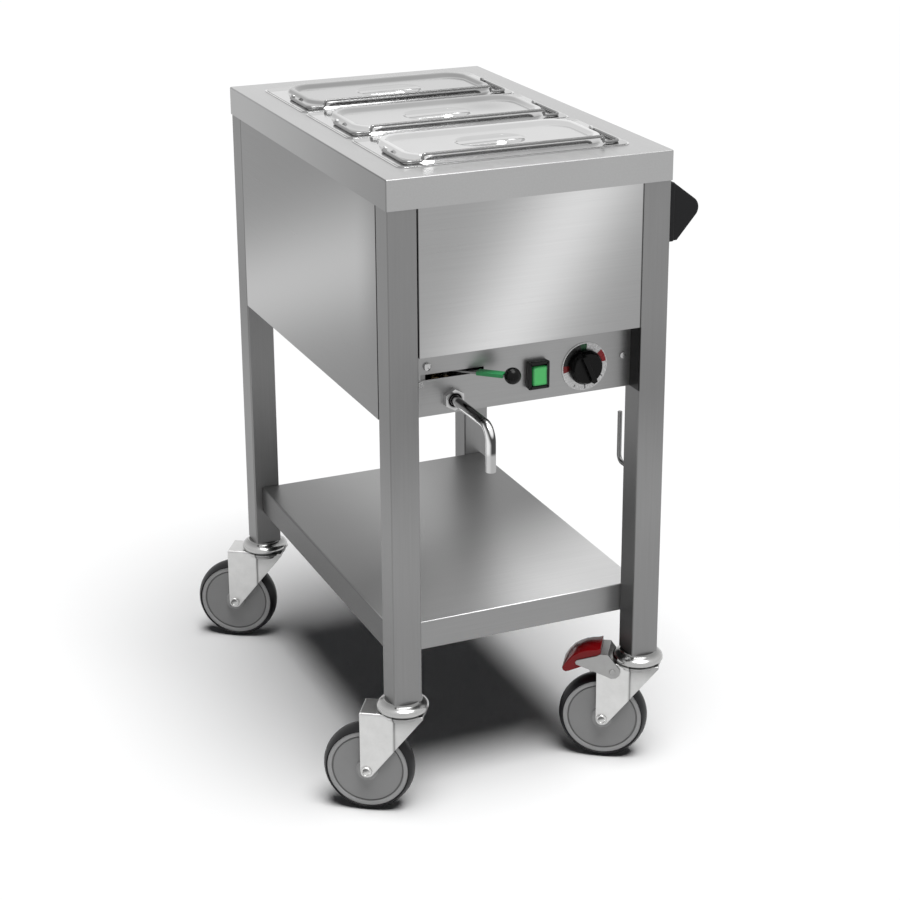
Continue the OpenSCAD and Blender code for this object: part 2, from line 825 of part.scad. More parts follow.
// Lit rocker, half round behind and nearly flat in front, tilting on two small pins
module switch_rocker() {
    front = ctrl_y - bezel_t;
    pivot_y = front + rocker_flat - rocker_proud;
    color("limegreen") stand() translate([switch_at, pivot_y, control_z]) rotate([-rocker_tilt, 0, 0]) {
        difference() {
            x_rod(-rocker_w / 2, rocker_w / 2, 0, 0, 2 * rocker_r);
            block([-rocker_w / 2 - over, -2 * rocker_r, -rocker_r - over],
                  [rocker_w + 2 * over, 2 * rocker_r - rocker_flat, 2 * rocker_r + 2 * over]);
        }
        x_rod(-rocker_w / 2 - rocker_pin_l, rocker_w / 2 + rocker_pin_l, 0, 0, rocker_pin_d);
    }
}

// Safety limiter: its body behind the panel and the domed cap over its reset pin
module limiter() {
    cap_y = ctrl_y - limiter_h;
    color("silver") stand() {
        y_rod(limiter_x, ctrl_back, ctrl_back + limiter_body_l, limiter_z, limiter_body_d);
        y_rod(limiter_x, ctrl_y, ctrl_back, limiter_z, limiter_neck);
        translate([limiter_x, ctrl_y, limiter_z]) rotate([90, 0, 0])
            rotate_extrude($fn = fine) intersection() {
                square([limiter_d / 2, limiter_h]);
                translate([0, limiter_h - limiter_dome_r]) circle(limiter_dome_r, $fn = fine);
            }
    }
}

// Terminal block for the mains leads, standing on the base cover
module terminal_block() {
    z = panel_z + panel_t + cover_t;
    color("ivory") stand() difference() {
        block([gland_x - block_l / 2, block_y - block_w / 2, z], [block_l, block_w, block_h]);
        for (i = [-1, 0, 1])
            y_rod(gland_x + i * block_l * block_share, block_y - block_w / 2 - over,
                block_y + block_w / 2 + over,
                  z + block_h / 2, block_bore);
    }
}

// Cable gland in the rear panel, with its nut and its dome cap
module cable_gland() {
    y0 = frame_l / 2 - panel_t - gland_nut_t - gland_tail;
    y1 = frame_l / 2;
    color("dimgray") stand() difference() {
        union() {
            y_rod(gland_x, y0, y1 + gland_flange_t, gland_z, gland_thread_d);
            y_rod(gland_x, y1 - panel_t - gland_nut_t, y1 - panel_t, gland_z, gland_flange_d);
            y_rod(gland_x, y1, y1 + gland_flange_t, gland_z, gland_flange_d);
            y_rod(gland_x, y1 + gland_flange_t, y1 + gland_flange_t + gland_cap_l, gland_z, gland_cap_d);
        }
        y_rod(gland_x, y0 - over, y1 + gland_flange_t + gland_cap_l + over, gland_z, gland_bore);
    }
}

// Bent rods welded to the right-hand legs, one facing the other, to wind the cable on
module cable_hooks() {
    color("silver") stand() for (s = [-1, 1]) {
        y0 = s * bay_y / 2;
        path = [[y0, hook_z], [y0 - s * hook_reach, hook_z], [y0 - s * hook_reach, hook_z + hook_h]];
        translate([leg_x, 0, 0]) rotate([90, 0, 90]) bent_rod(path, hook_bend, hook_d);
    }
}

// Profile of a handle bracket in X and Z
module bracket_profile(base) {
    bx = frame_w / 2 + base;
    hull() {
        translate([bx, bracket_top - bracket_step]) square([over, bracket_step]);
        translate([bracket_nose_x, bracket_nose_z]) circle(bracket_r, $fn = soft);
        translate([bx, bracket_top - bracket_h]) square([bracket_toe - base, over]);
    }
}

// Moulded brackets that carry the push bar, one on each right-hand leg
module handle_brackets() {
    color("darkslategray") stand() for (s = [-1, 1]) difference() {
        union() {
            block([frame_w / 2, s * bracket_y - bracket_base_w / 2, bracket_top - bracket_h],
                  [bracket_base_t, bracket_base_w, bracket_h]);
            translate([0, s * bracket_y, 0]) xz_slab(bracket_w) bracket_profile(bracket_base_t);
        }
        y_rod(bracket_nose_x, s > 0 ? bracket_y - bracket_w : -bracket_y + bracket_w / 2 - bar_socket,
              s > 0 ? bracket_y - bracket_w / 2 + bar_socket : -bracket_y + bracket_w, bracket_nose_z,
              bar_d + 2 * run_gap);
        bracket_bores(s);
    }
}

// Through bores and counterbores of a bracket's two screws
module bracket_bores(s) {
    for (z = handle_screw_zs) {
        x_rod(frame_w / 2 - over, frame_w / 2 + handle_reach, s * bracket_y, z,
            handle_screw_d + 2 * fit_gap);
        x_rod(frame_w / 2 + bracket_base_t, frame_w / 2 + handle_reach, s * bracket_y, z,
              handle_screw_head + 2 * fit_gap);
    }
}

// Push bar between the brackets
module handle_bar() {
    l = 2 * (bracket_y - bracket_w / 2 + bar_socket - fit_gap);
    color("silver") stand() difference() {
        y_rod(bracket_nose_x, -l / 2, l / 2, bracket_nose_z, bar_d);
        y_rod(bracket_nose_x, -l / 2 - over, l / 2 + over, bracket_nose_z, bar_d - 2 * bar_t);
    }
}

// Screws of the control panel and, from below, of the base cover
module panel_screws() {
    color("gainsboro") stand() {
        for (s = [-1, 1]) {
            y_rod(s * ctrl_screw_x, ctrl_y - screw_head_h, ctrl_y, ctrl_screw_z, screw_head_d);
            y_rod(s * ctrl_screw_x, ctrl_y, ctrl_y + screw_l, ctrl_screw_z, screw_d);
        }
        for (sx = [-1, 1], sy = [-1, 1])
            translate([sx * (frame_w / 2 - return_w / 2), sy * cover_screw_y, panel_z]) {
                translate([0, 0, -screw_head_h]) cylinder(h = screw_head_h, d = screw_head_d, $fn = soft);
                cylinder(h = screw_l, d = screw_d, $fn = soft);
            }
    }
}

// Screws that hold the handle brackets to the legs
module handle_screws() {
    color("gainsboro") stand()
        for (s = [-1, 1], z = handle_screw_zs) {
            x_rod(frame_w / 2 - handle_screw_in, frame_w / 2 + bracket_base_t, s * bracket_y, z,
                handle_screw_d);
            x_rod(frame_w / 2 + bracket_base_t, frame_w / 2 + bracket_base_t + handle_screw_d,
                  s * bracket_y, z, handle_screw_head);
        }
}

// One food pan hanging by its flange
module pan(i) {
    w = gn_w - 2 * pan_lip;
    l = pan_l - 2 * pan_lip;
    color("gainsboro") stand() translate([0, stack_y[i], 0]) difference() {
        union() {
            translate([0, 0, top_h]) linear_extrude(pan_t) round_rect(gn_w, pan_l, pan_r);
            translate([0, 0, top_h - pan_d]) linear_extrude(pan_d) round_rect(w, l, pan_body_r);
        }
        translate([0, 0, top_h - pan_d + pan_t])
            linear_extrude(pan_d + over) round_rect(w - 2 * pan_t, l - 2 * pan_t, pan_body_r - pan_t);
    }
}

// Raised middle of a lid, shrunk all round by inset
module dome(z, inset) {
    hull() {
        translate([0, 0, z])
            linear_extrude(dome_slice)
                round_rect(dome_foot_w - 2 * inset, dome_foot_l - 2 * inset, dome_r);
        translate([0, 0, z + lid_rise - dome_slice])
            linear_extrude(dome_slice)
                round_rect(dome_foot_w - 2 * dome_slope - 2 * inset,
                    dome_foot_l - 2 * dome_slope - 2 * inset, dome_r);
    }
}

// An oval with straight sides
module grip_oval(w, l) {
    round_rect(w, l, l / 2 - fit_gap);
}

// Sunk floor inside a lid's raised rim, widened all round by outset, from depth z upwards
module lid_floor(z, outset) {
    hull() {
        translate([0, 0, z])
            linear_extrude(dome_slice)
                round_rect(floor_w + 2 * outset, floor_l + 2 * outset, floor_r + outset);
        translate([0, 0, z + floor_d + over])
            linear_extrude(dome_slice)
                round_rect(floor_w + 2 * floor_slope_w + 2 * outset,
                    floor_l + 2 * floor_slope_l + 2 * outset, floor_edge_r + outset);
    }
}

// One lid with a raised rim, a sunk grip under a strap, and two ears for its bail
module lid(i) {
    cup = floor_top - grip_d;
    color("gainsboro") stand() translate([0, stack_y[i], 0]) {
        difference() {
            union() {
                translate([0, 0, rim_top]) linear_extrude(lid_t) round_rect(lid_w, lid_l, lid_r);
                dome(lid_top, 0);
                translate([0, 0, floor_top - lid_t])
                    linear_extrude(lid_t) round_rect(floor_w, floor_l, floor_r);
                translate([0, 0, rim_top - lip_h]) linear_extrude(lip_h + lid_t) lid_lip(0);
                translate([0, 0, cup - lid_t])
                    linear_extrude(grip_d) grip_oval(grip_w + 2 * lid_t, grip_l + 2 * lid_t);
            }
            difference() {
                union() {
                    translate([0, 0, rim_top]) dome(0, lid_t);
                    translate([0, 0, rim_top - lip_h - over]) linear_extrude(lip_h + over) lid_lip(lid_t);
                }
                lid_floor(floor_top - lid_t, lid_t);
                translate([0, 0, cup - over])
                    linear_extrude(grip_d) grip_oval(grip_w + 2 * lid_t, grip_l + 2 * lid_t);
            }
            lid_floor(floor_top, 0);
            translate([0, 0, cup]) linear_extrude(grip_d + over) grip_oval(grip_w, grip_l);
        }
        translate([0, 0, floor_top - lid_t])
            linear_extrude(lid_t) square([grip_w + lid_t, grip_bar], center = true);
        for (s = [-1, 1]) lid_ear(s);
    }
}

// Outline of the lip that seats a lid in its pan, shrunk all round by inset
module lid_lip(inset) {
    back = pan_lip + pan_t + lip_play + inset;
    round_rect(gn_w - 2 * back, pan_l - 2 * back, pan_body_r - pan_t - lip_play - inset);
}

// Ear on a lid's short side, bored for the bail
module lid_ear(s) {
    x0 = s > 0 ? ear_x - ear_t : -ear_x;
    difference() {
        block([x0, -ear_w / 2, lid_top], [ear_t, ear_w, bail_z + bail_d / 2 + ear_rim - lid_top]);
        x_rod(x0 - over, x0 + ear_t + over, 0, bail_z, bail_d + 2 * run_gap);
    }
}

// Wire bail that lies around a lid's middle, its long run stepped up to be gripped
module bail(i) {
    join = bail_x - bail_join;
    side = [[ear_x - ear_t - lid_t, 0], [bail_x, 0], [bail_x, -bail_y], [join, -bail_y]];
    step = bail_x - bail_step_at;
    grip = [[join, 0], [step, 0], [step, bail_step], [-step, bail_step], [-step, 0], [-join, 0]];
    color("silver") stand() translate([0, stack_y[i], bail_z]) {
        for (s = [0, 1]) mirror([s, 0, 0]) {
            bent_rod(side, [0, bail_d / 2 + fit_gap, bail_bend, 0], bail_d);
            x_rod(join - over, join + over, -bail_y, 0, bail_d + 2 * run_gap);
        }
        translate([0, -bail_y, 0]) rotate([90, 0, 0]) bent_rod(grip, bail_step_bend, bail_d);
    }
}

// Places a caster's piece, drawn with its swivel axis on the origin and its wheel trailing along -X
module at_caster(i) {
    stand() translate([corners[i][0], corners[i][1], 0]) rotate([0, 0, -caster_turn]) children();
}

// Fixed race with its kingpin and the plug that holds it in the leg
module caster_head() {
    difference() {
        rotate_extrude($fn = fine) difference() {
            union() {
                polygon([[0, caster_h - race_drop + race_lip], [race_r, caster_h - race_drop + race_lip],
                         [race_top_r, caster_h], [0, caster_h]]);
                translate([0, caster_h - race_drop]) square([race_r, race_lip]);
            }
            translate([king_d / 2, caster_h - race_drop - over])
                square([race_r - race_wall - king_d / 2, ball_d + run_gap - race_gap + over]);
        }
    }
    translate([0, 0, crown_top - crown_t - king_head_t - fit_gap])
        cylinder(h = caster_h - crown_top + crown_t + king_head_t, d = king_d, $fn = fine);
    translate([0, 0, crown_top - crown_t - king_head_t - fit_gap])
        cylinder(h = king_head_t, d = king_head_d, $fn = fine);
    translate([0, 0, caster_h]) linear_extrude(plug_l)
        round_rect(leg_w - 2 * leg_t - 2 * fit_gap, leg_w - 2 * leg_t - 2 * fit_gap, leg_r);
}

module caster_heads() {
    color("silver") stand() for (c = corners)
        translate([c[0], c[1], 0]) caster_head();
}

// Balls between each fixed race and its fork
module swivel_balls() {
    z = crown_top + ball_d / 2 + run_gap;
    color("silver") stand() for (c = corners, k = [0 : ball_count - 1])
        translate([c[0] + ball_ring_r * cos(k * 360 / ball_count),
            c[1] + ball_ring_r * sin(k * 360 / ball_count), z])
            sphere(d = ball_d, $fn = soft);
}

// Outline of a fork cheek in X and Z
module cheek_profile() {
    polygon([
        [-trail - cheek_back, crown_top], [-trail - cheek_back, axle_z],
        [-trail + cheek_toe * cos(cheek_slope), axle_z - cheek_toe * sin(cheek_slope)],
        [cheek_front, crown_top - crown_t], [cheek_front, crown_top]
    ]);
    translate([-trail, axle_z]) circle(cheek_back, $fn = fine);
    translate([-trail, axle_z]) circle(cheek_toe, $fn = fine);
}

// Fork: two cheeks under a crown that turns on the kingpin
module fork(braked) {
    difference() {
        union() {
            for (s = [-1, 1])
                translate([0, s * (cheek_in + fork_t / 2), 0]) xz_slab(fork_t) cheek_profile();
            block([-trail - cheek_back, -cheek_out, crown_top - crown_t],
                [trail + cheek_back, 2 * cheek_out, crown_t]);
            translate([0, 0, crown_top - crown_t])
                cylinder(h = crown_t, r = race_r - race_wall, $fn = fine);
        }
        translate([0, 0, crown_top - crown_t - over])
            cylinder(h = crown_t + 2 * over, d = king_d + 2 * run_gap, $fn = fine);
        y_rod(-trail, -cheek_out - over, cheek_out + over, axle_z, bolt_d + 2 * run_gap);
        if (braked)
            y_rod(brake_pivot_x, -cheek_out - over, cheek_out + over, brake_pivot_z,
                brake_pin_d + 2 * run_gap);
    }
}

// Grey wheel centre: rim, web and boss, with a ring groove on each face
module hub() {
    translate([-trail, 0, axle_z]) rotate([90, 0, 0]) rotate_extrude($fn = fine) difference() {
        union() {
            translate([sleeve_d / 2 + run_gap, -boss_w / 2]) square([boss_d / 2 - sleeve_d / 2, boss_w]);
            translate([sleeve_d / 2 + run_gap, -hub_w / 2])
                square([rim_d / 2 - sleeve_d / 2 - run_gap, hub_w]);
        }
        for (s = [-1, 1])
            translate([rim_d / 2 - groove_in - groove_w,
                s * (hub_w / 2 - groove_deep / 2) - groove_deep / 2])
                square([groove_w, groove_deep + run_gap]);
    }
}

// Black tyre with a rounded tread
module tyre() {
    translate([-trail, 0, axle_z]) rotate([90, 0, 0]) rotate_extrude($fn = fine) intersection() {
        translate([rim_d / 2, -wheel_w / 2]) square([(wheel_d - rim_d) / 2, wheel_w]);
        translate([wheel_d / 2 - crown_r, 0]) circle(crown_r, $fn = fine);
    }
}

// Axle bolt with its nut and the spacer tube that the wheel turns on
module axle() {
    nut_y = cheek_out;
    difference() {
        y_rod(-trail, -cheek_in, cheek_in, axle_z, sleeve_d);
        y_rod(-trail, -cheek_in - over, cheek_in + over, axle_z, bolt_d + 2 * run_gap);
    }
    y_rod(-trail, -cheek_out, nut_y + bolt_nut_h + over, axle_z, bolt_d);
    y_rod(-trail, -cheek_out - bolt_head_h, -cheek_out, axle_z, bolt_head_d);
    difference() {
        translate([-trail, nut_y, axle_z]) rotate([-90, 0, 0])
            cylinder(h = bolt_nut_h, d = bolt_nut_af / cos(30), $fn = 6);
        y_rod(-trail, nut_y - over, nut_y + bolt_nut_h + over, axle_z, bolt_d + 2 * run_gap);
    }
}

// Side plate of a brake lever in X and Z
module brake_profile() {
    hull() {
        translate([brake_pivot_x, brake_pivot_z]) circle(brake_boss_r, $fn = soft);
        translate([brake_arm_x, brake_pivot_z + brake_arm_rise]) circle(brake_tip_r, $fn = soft);
        translate([brake_web_x, brake_pivot_z + brake_web_rise - brake_t]) square([brake_web_l, brake_t]);
    }
}

// Steel brake lever: two side plates outside the fork, webs between them, the shoe and the pivot pin
module brake_lever() {
    inner = cheek_out + brake_gap;
    for (s = [-1, 1])
        translate([0, s * (inner + brake_t / 2), 0]) xz_slab(brake_t) brake_profile();
    block([brake_web_x, -inner - over, brake_pivot_z + brake_web_rise - brake_t],
          [brake_web_l, 2 * inner + 2 * over, brake_t]);
    shoe_top = brake_pivot_z + shoe_rise;
    block([shoe_x, -inner - over, shoe_top - shoe_t], [shoe_t, 2 * inner + 2 * over, shoe_t]);
    block([shoe_x, -shoe_w / 2, wheel_d + shoe_lift], [shoe_t, shoe_w, shoe_top - wheel_d - shoe_lift]);
    y_rod(brake_pivot_x, -inner - brake_t - brake_pin_head_t, inner + brake_t + brake_pin_head_t,
          brake_pivot_z, brake_pin_d);
    for (s = [-1, 1])
        y_rod(brake_pivot_x, s > 0 ? inner + brake_t : -inner - brake_t - brake_pin_head_t,
              s > 0 ? inner + brake_t + brake_pin_head_t : -inner - brake_t, brake_pivot_z,
                  brake_pin_head);
}

// Outline of the red pedal in X and Z
module pedal_profile() {
    hull() {
        translate([pedal_tip[0], brake_pivot_z + pedal_tip[1]]) circle(pedal_tip_r, $fn = soft);
        translate([0, brake_pivot_z])
            polygon([pedal_back, pedal_low, pedal_top, pedal_crest, pedal_brow]);
    }
}

// Red foot pedal, seated between the arms of the brake lever
module brake_pedal() {
    xz_slab(2 * (cheek_out + brake_gap)) pedal_profile();
}

module fork_node(i, braked) {
    color("lightgray") at_caster(i) fork(braked);
}

module hub_node(i) {
    color("gray") at_caster(i) hub();
}

module tyre_node(i) {
    color("black") at_caster(i) tyre();
}

module axle_node(i) {
    color("silver") at_caster(i) axle();
}

module brake_lever_node(i) {
    color("silver") at_caster(i) brake_lever();
}

module brake_pedal_node(i) {
    color("firebrick") at_caster(i) brake_pedal();
}

deck();
legs();
caster_heads();
swivel_balls();
front_panel();
control_panel();
side_panels();
rear_panel();
base_cover();
shelf();
well();
well_base();
heater();
drain_pipe();
valve_body();
drain_spout();
drain_lever();
lever_sleeve();
lever_knob();
thermostat();
dial_plate();
thermostat_knob();
switch_housing();
switch_rocker();
limiter();
terminal_block();
cable_gland();
cable_hooks();
handle_brackets();
handle_bar();
panel_screws();
handle_screws();
pan(0);  // pan_front
pan(1);  // pan_middle
pan(2);  // pan_rear
lid(0);  // lid_front
lid(1);  // lid_middle
lid(2);  // lid_rear
bail(0);  // bail_front
bail(1);  // bail_middle
bail(2);  // bail_rear
fork_node(0, false);  // fork_fl
fork_node(1, true);  // fork_fr
fork_node(2, false);  // fork_rl
fork_node(3, true);  // fork_rr
hub_node(0);  // hub_fl
hub_node(1);  // hub_fr
hub_node(2);  // hub_rl
hub_node(3);  // hub_rr
tyre_node(0);  // tyre_fl
tyre_node(1);  // tyre_fr
tyre_node(2);  // tyre_rl
tyre_node(3);  // tyre_rr
axle_node(0);  // axle_fl
axle_node(1);  // axle_fr
axle_node(2);  // axle_rl
axle_node(3);  // axle_rr
brake_lever_node(1);  // brake_lever_fr
brake_lever_node(3);  // brake_lever_rr
brake_pedal_node(1);  // brake_pedal_fr
brake_pedal_node(3);  // brake_pedal_rr
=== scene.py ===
import math
import bmesh
import bpy
from mathutils import Matrix, Vector


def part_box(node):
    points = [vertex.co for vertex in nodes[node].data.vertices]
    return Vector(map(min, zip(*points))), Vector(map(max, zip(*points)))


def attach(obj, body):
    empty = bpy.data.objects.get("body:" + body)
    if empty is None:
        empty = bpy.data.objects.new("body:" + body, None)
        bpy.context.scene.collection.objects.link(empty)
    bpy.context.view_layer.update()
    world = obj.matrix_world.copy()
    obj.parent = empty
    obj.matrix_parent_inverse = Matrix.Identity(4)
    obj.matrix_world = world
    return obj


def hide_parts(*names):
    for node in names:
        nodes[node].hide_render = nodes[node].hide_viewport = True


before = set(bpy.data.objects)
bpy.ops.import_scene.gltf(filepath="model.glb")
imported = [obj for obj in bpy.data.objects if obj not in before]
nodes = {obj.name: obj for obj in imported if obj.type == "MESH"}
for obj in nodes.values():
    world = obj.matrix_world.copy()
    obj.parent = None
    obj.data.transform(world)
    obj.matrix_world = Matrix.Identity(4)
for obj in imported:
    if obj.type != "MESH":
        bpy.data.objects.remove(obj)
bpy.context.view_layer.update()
print("frame loaded with", len(nodes), "nodes")

mm = 0.001
deckLow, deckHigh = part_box("deck")
middle = Vector(((deckLow.x + deckHigh.x) / 2 / mm,
                 (deckLow.y + deckHigh.y) / 2 / mm, 0))  # the deck's middle
legX, legY, legHalf = 177, 288.5, 20  # a leg's middle from the deck's, and half a leg's side
casterTurn, trail, axleHigh = -33, 47, 62.5  # the forks' turn, and the axle from the swivel's axis
panSpan, panPitch = 530, 176.67  # the three pans together, and one pan to the next
spoutX, spoutZ = -100, 577  # the drain's axis
corners = {"fl": (-legX, -legY), "fr": (legX, -legY), "rl": (-legX, legY), "rr": (legX, legY)}
stacks = ["front", "middle", "rear"]


# small tools: places are in mm from the deck's middle until a piece is finished

def tidyPicks():
    if bpy.context.mode != "OBJECT":
        bpy.ops.object.mode_set(mode="OBJECT")
    bpy.ops.object.select_all(action="DESELECT")


def only(obj):
    tidyPicks()
    obj.select_set(True)
    bpy.context.view_layer.objects.active = obj


def named(name):
    obj = bpy.context.object
    obj.name = obj.data.name = name
    return obj


def span(node):
    low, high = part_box(node)
    return low / mm - middle, high / mm - middle


def settle(obj):
    only(obj)
    bpy.ops.object.transform_apply(location=True, rotation=True, scale=True)


def block(name, low, high):
    tidyPicks()
    low, high = Vector(low) * mm, Vector(high) * mm
    bpy.ops.mesh.primitive_cube_add(size=1, location=(low + high) / 2)
    obj = named(name)
    obj.scale = high - low
    settle(obj)
    return obj


def pick(obj, kind, test):  # picks the points, edges or faces whose middle and direction pass the test
    only(obj)
    bpy.ops.object.mode_set(mode="EDIT")
    bpy.ops.mesh.select_mode(type=kind)
    bpy.ops.mesh.select_all(action="DESELECT")
    mesh = bmesh.from_edit_mesh(obj.data)
    mesh.normal_update()
    for item in {"VERT": mesh.verts, "EDGE": mesh.edges, "FACE": mesh.faces}[kind]:
        points = [item.co] if kind == "VERT" else [v.co for v in item.verts]
        at = sum(points, Vector()) / len(points) / mm
        way = (points[1] - points[0]).normalized() if kind == "EDGE" else item.normal
        item.select_set(bool(test(at, way)))
    bmesh.update_edit_mesh(obj.data)


def pickAll(obj):
    only(obj)
    bpy.ops.object.mode_set(mode="EDIT")
    bpy.ops.mesh.select_all(action="SELECT")


def move(obj, change):  # moves the picked points to the place that change gives
    mesh = bmesh.from_edit_mesh(obj.data)
    for v in mesh.verts:
        if v.select:
            v.co = Vector(change(v.co / mm)) * mm
    bmesh.update_edit_mesh(obj.data)


def roundEdges(obj, test, width, steps=3):
    pick(obj, "EDGE", test)
    bpy.ops.mesh.bevel(offset=width * mm, segments=steps, affect="EDGES", clamp_overlap=True)


def roundCorners(obj, test, width, steps=6):
    pick(obj, "VERT", test)
    bpy.ops.mesh.bevel(offset=width * mm, segments=steps, affect="VERTICES", clamp_overlap=True)


def apply(obj, kind, **settings):
    only(obj)
    modifier = obj.modifiers.new(kind.title(), kind)
    for key, value in settings.items():
        setattr(modifier, key, value)
    bpy.ops.object.modifier_apply(modifier=modifier.name)


def wall(obj, thick):  # gives a sheet its thickness, inwards
    apply(obj, "SOLIDIFY", thickness=thick * mm, offset=-1, use_even_offset=True)


def outwards(obj):
    pickAll(obj)
    bpy.ops.mesh.remove_doubles(threshold=0.005 * mm)
    bpy.ops.mesh.dissolve_degenerate(threshold=0.002 * mm)
    bpy.ops.mesh.normals_make_consistent(inside=False)
    tidyPicks()


def plate(name, points, low, high):  # an outline in X and Z, drawn out along Y
    tidyPicks()
    bpy.ops.mesh.primitive_circle_add(vertices=len(points), fill_type="NGON", radius=1)
    obj = named(name)
    for v, (x, z) in zip(obj.data.vertices, points):
        v.co = Vector((x, low, z)) * mm
    pickAll(obj)
    bpy.ops.mesh.extrude_region_move(TRANSFORM_OT_translate={"value": (0, (high - low) * mm, 0)})
    outwards(obj)
    return obj


def turned(name, points, at=(0, 0, 0), axis="Z", steps=72):  # spins (radius, along) points about an axis
    way = {"X": Vector((1, 0, 0)), "Y": Vector((0, 1, 0)), "Z": Vector((0, 0, 1))}[axis]
    side = Vector((0, 0, 1)) if axis != "Z" else Vector((1, 0, 0))
    at = Vector(at)
    tidyPicks()
    bpy.ops.mesh.primitive_circle_add(vertices=len(points), fill_type="NOTHING", radius=1)
    obj = named(name)
    for v, (radius, along) in zip(obj.data.vertices, points):
        v.co = (at + side * radius + way * along) * mm
    if points[0][0] == 0 and points[-1][0] == 0:
        ends = [0, len(points) - 1]
        only(obj)
        bpy.ops.object.mode_set(mode="EDIT")
        bpy.ops.mesh.select_mode(type="EDGE")
        bpy.ops.mesh.select_all(action="DESELECT")
        mesh = bmesh.from_edit_mesh(obj.data)
        for edge in mesh.edges:
            edge.select_set(sorted(v.index for v in edge.verts) == ends)
        bmesh.update_edit_mesh(obj.data)
        bpy.ops.mesh.delete(type="EDGE")
    pickAll(obj)
    bpy.ops.mesh.spin(steps=steps, angle=math.tau, center=at * mm, axis=way)
    outwards(obj)
    return obj


def mirrored(side):  # (radius, along) points of one side, then back along the other
    return [(r, -w) for r, w in side] + [(r, w) for r, w in reversed(side)]


def stacked(name, rings, steps=8):  # rounded rectangles (wide, long, corner, height) in a row
    tidyPicks()
    bpy.ops.mesh.primitive_plane_add(size=1, location=(0, 0, rings[0][3] * mm))
    obj = named(name)
    obj.scale = (rings[0][0] * mm, rings[0][1] * mm, 1)
    settle(obj)
    roundCorners(obj, lambda at, way: True, rings[0][2], steps)
    pickAll(obj)
    for old, new in zip(rings, rings[1:]):
        bpy.ops.mesh.extrude_region_move()

        def onRing(p):
            turn = math.atan2(abs(p.y) - old[1] / 2 + old[2], abs(p.x) - old[0] / 2 + old[2])
            x = new[0] / 2 - new[2] + new[2] * math.cos(turn)
            y = new[1] / 2 - new[2] + new[2] * math.sin(turn)
            return math.copysign(x, p.x), math.copysign(y, p.y), new[3]
        move(obj, onRing)
    bpy.ops.object.mode_set(mode="OBJECT")
    return obj


def joined(name, *parts):
    only(parts[0])
    for part in parts[1:]:
        part.select_set(True)
    bpy.ops.object.join()
    return named(name)


def copyOf(obj, name):
    tidyPicks()
    twin = obj.copy()
    twin.data = obj.data.copy()
    twin.name = twin.data.name = name
    bpy.context.scene.collection.objects.link(twin)
    return twin


def copyOfNode(node, name):  # a CAD node's shape as clean faces
    obj = copyOf(nodes[node], name)
    obj.parent = None
    for key in list(obj.keys()):
        del obj[key]
    obj.data.materials.clear()
    obj.data.transform(Matrix.Translation(-middle * mm))
    only(obj)
    bpy.ops.mesh.customdata_custom_splitnormals_clear()
    pickAll(obj)
    bpy.ops.mesh.remove_doubles(threshold=0.004 * mm)
    bpy.ops.mesh.dissolve_limited(angle_limit=math.radians(0.4))
    return obj


def atCaster(key):
    x, y = corners[key]
    return Matrix.Translation(Vector((x, y, 0)) * mm) @ Matrix.Rotation(math.radians(casterTurn), 4, "Z")


def finished(obj, body, paint, stands, where=None, smooth=32):  # puts a piece in its place
    tidyPicks()
    obj.data.transform(Matrix.Translation(middle * mm) @ (where or Matrix.Identity(4)))
    only(obj)
    bpy.ops.object.shade_smooth_by_angle(angle=math.radians(smooth))
    apply(obj, "WEIGHTED_NORMAL", keep_sharp=True, weight=60)
    obj.data.materials.clear()
    obj.data.materials.append(paint)
    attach(obj, body)
    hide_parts(*stands)


# materials

class Wire:  # a socket that takes part in sums
    def __init__(self, tree, socket):
        self.tree, self.socket = tree, socket

    def sum(self, kind, a, b=0.0):
        return self.tree.node("Math", {"operation": kind}, {0: a, 1: b})

    def __add__(self, other):
        return self.sum("ADD", self, other)

    def __radd__(self, other):
        return self.sum("ADD", other, self)

    def __sub__(self, other):
        return self.sum("SUBTRACT", self, other)

    def __rsub__(self, other):
        return self.sum("SUBTRACT", other, self)

    def __mul__(self, other):
        return self.sum("MULTIPLY", self, other)

    def __rmul__(self, other):
        return self.sum("MULTIPLY", other, self)

    def __truediv__(self, other):
        return self.sum("DIVIDE", self, other)

    def __pow__(self, other):
        return self.sum("POWER", self, other)

    def __mod__(self, other):
        return self.sum("MODULO", self, other)

    def size(self):
        return self.sum("ABSOLUTE", self)

    def hump(self, width):  # 1 at zero, falling away softly on both sides
        return self.sum("POWER", 2.718, self * self * (-1 / width ** 2))

    def over(self, edge):  # 1 where this is over the edge
        return self.sum("GREATER_THAN", self, edge)

    def step(self, low, high):  # 0 at low, 1 at high, smooth between
        return self.tree.node("MapRange", {"interpolation_type": "SMOOTHSTEP"},
                              {0: self, 1: low, 2: high, 3: 0.0, 4: 1.0})


class Tree:  # the nodes of a material or of the world
    def __init__(self, owner):
        owner.use_nodes = True
        self.nodes, self.links = owner.node_tree.nodes, owner.node_tree.links
        self.nodes.clear()

    def node(self, kind, settings=None, inputs=None, out=0):
        made = self.nodes.new("ShaderNode" + kind)
        for key, value in (settings or {}).items():
            setattr(made, key, value)
        for key, value in (inputs or {}).items():
            if isinstance(value, Wire):
                self.links.new(value.socket, made.inputs[key])
            else:
                made.inputs[key].default_value = value
        return Wire(self, made.outputs[out]) if made.outputs else None


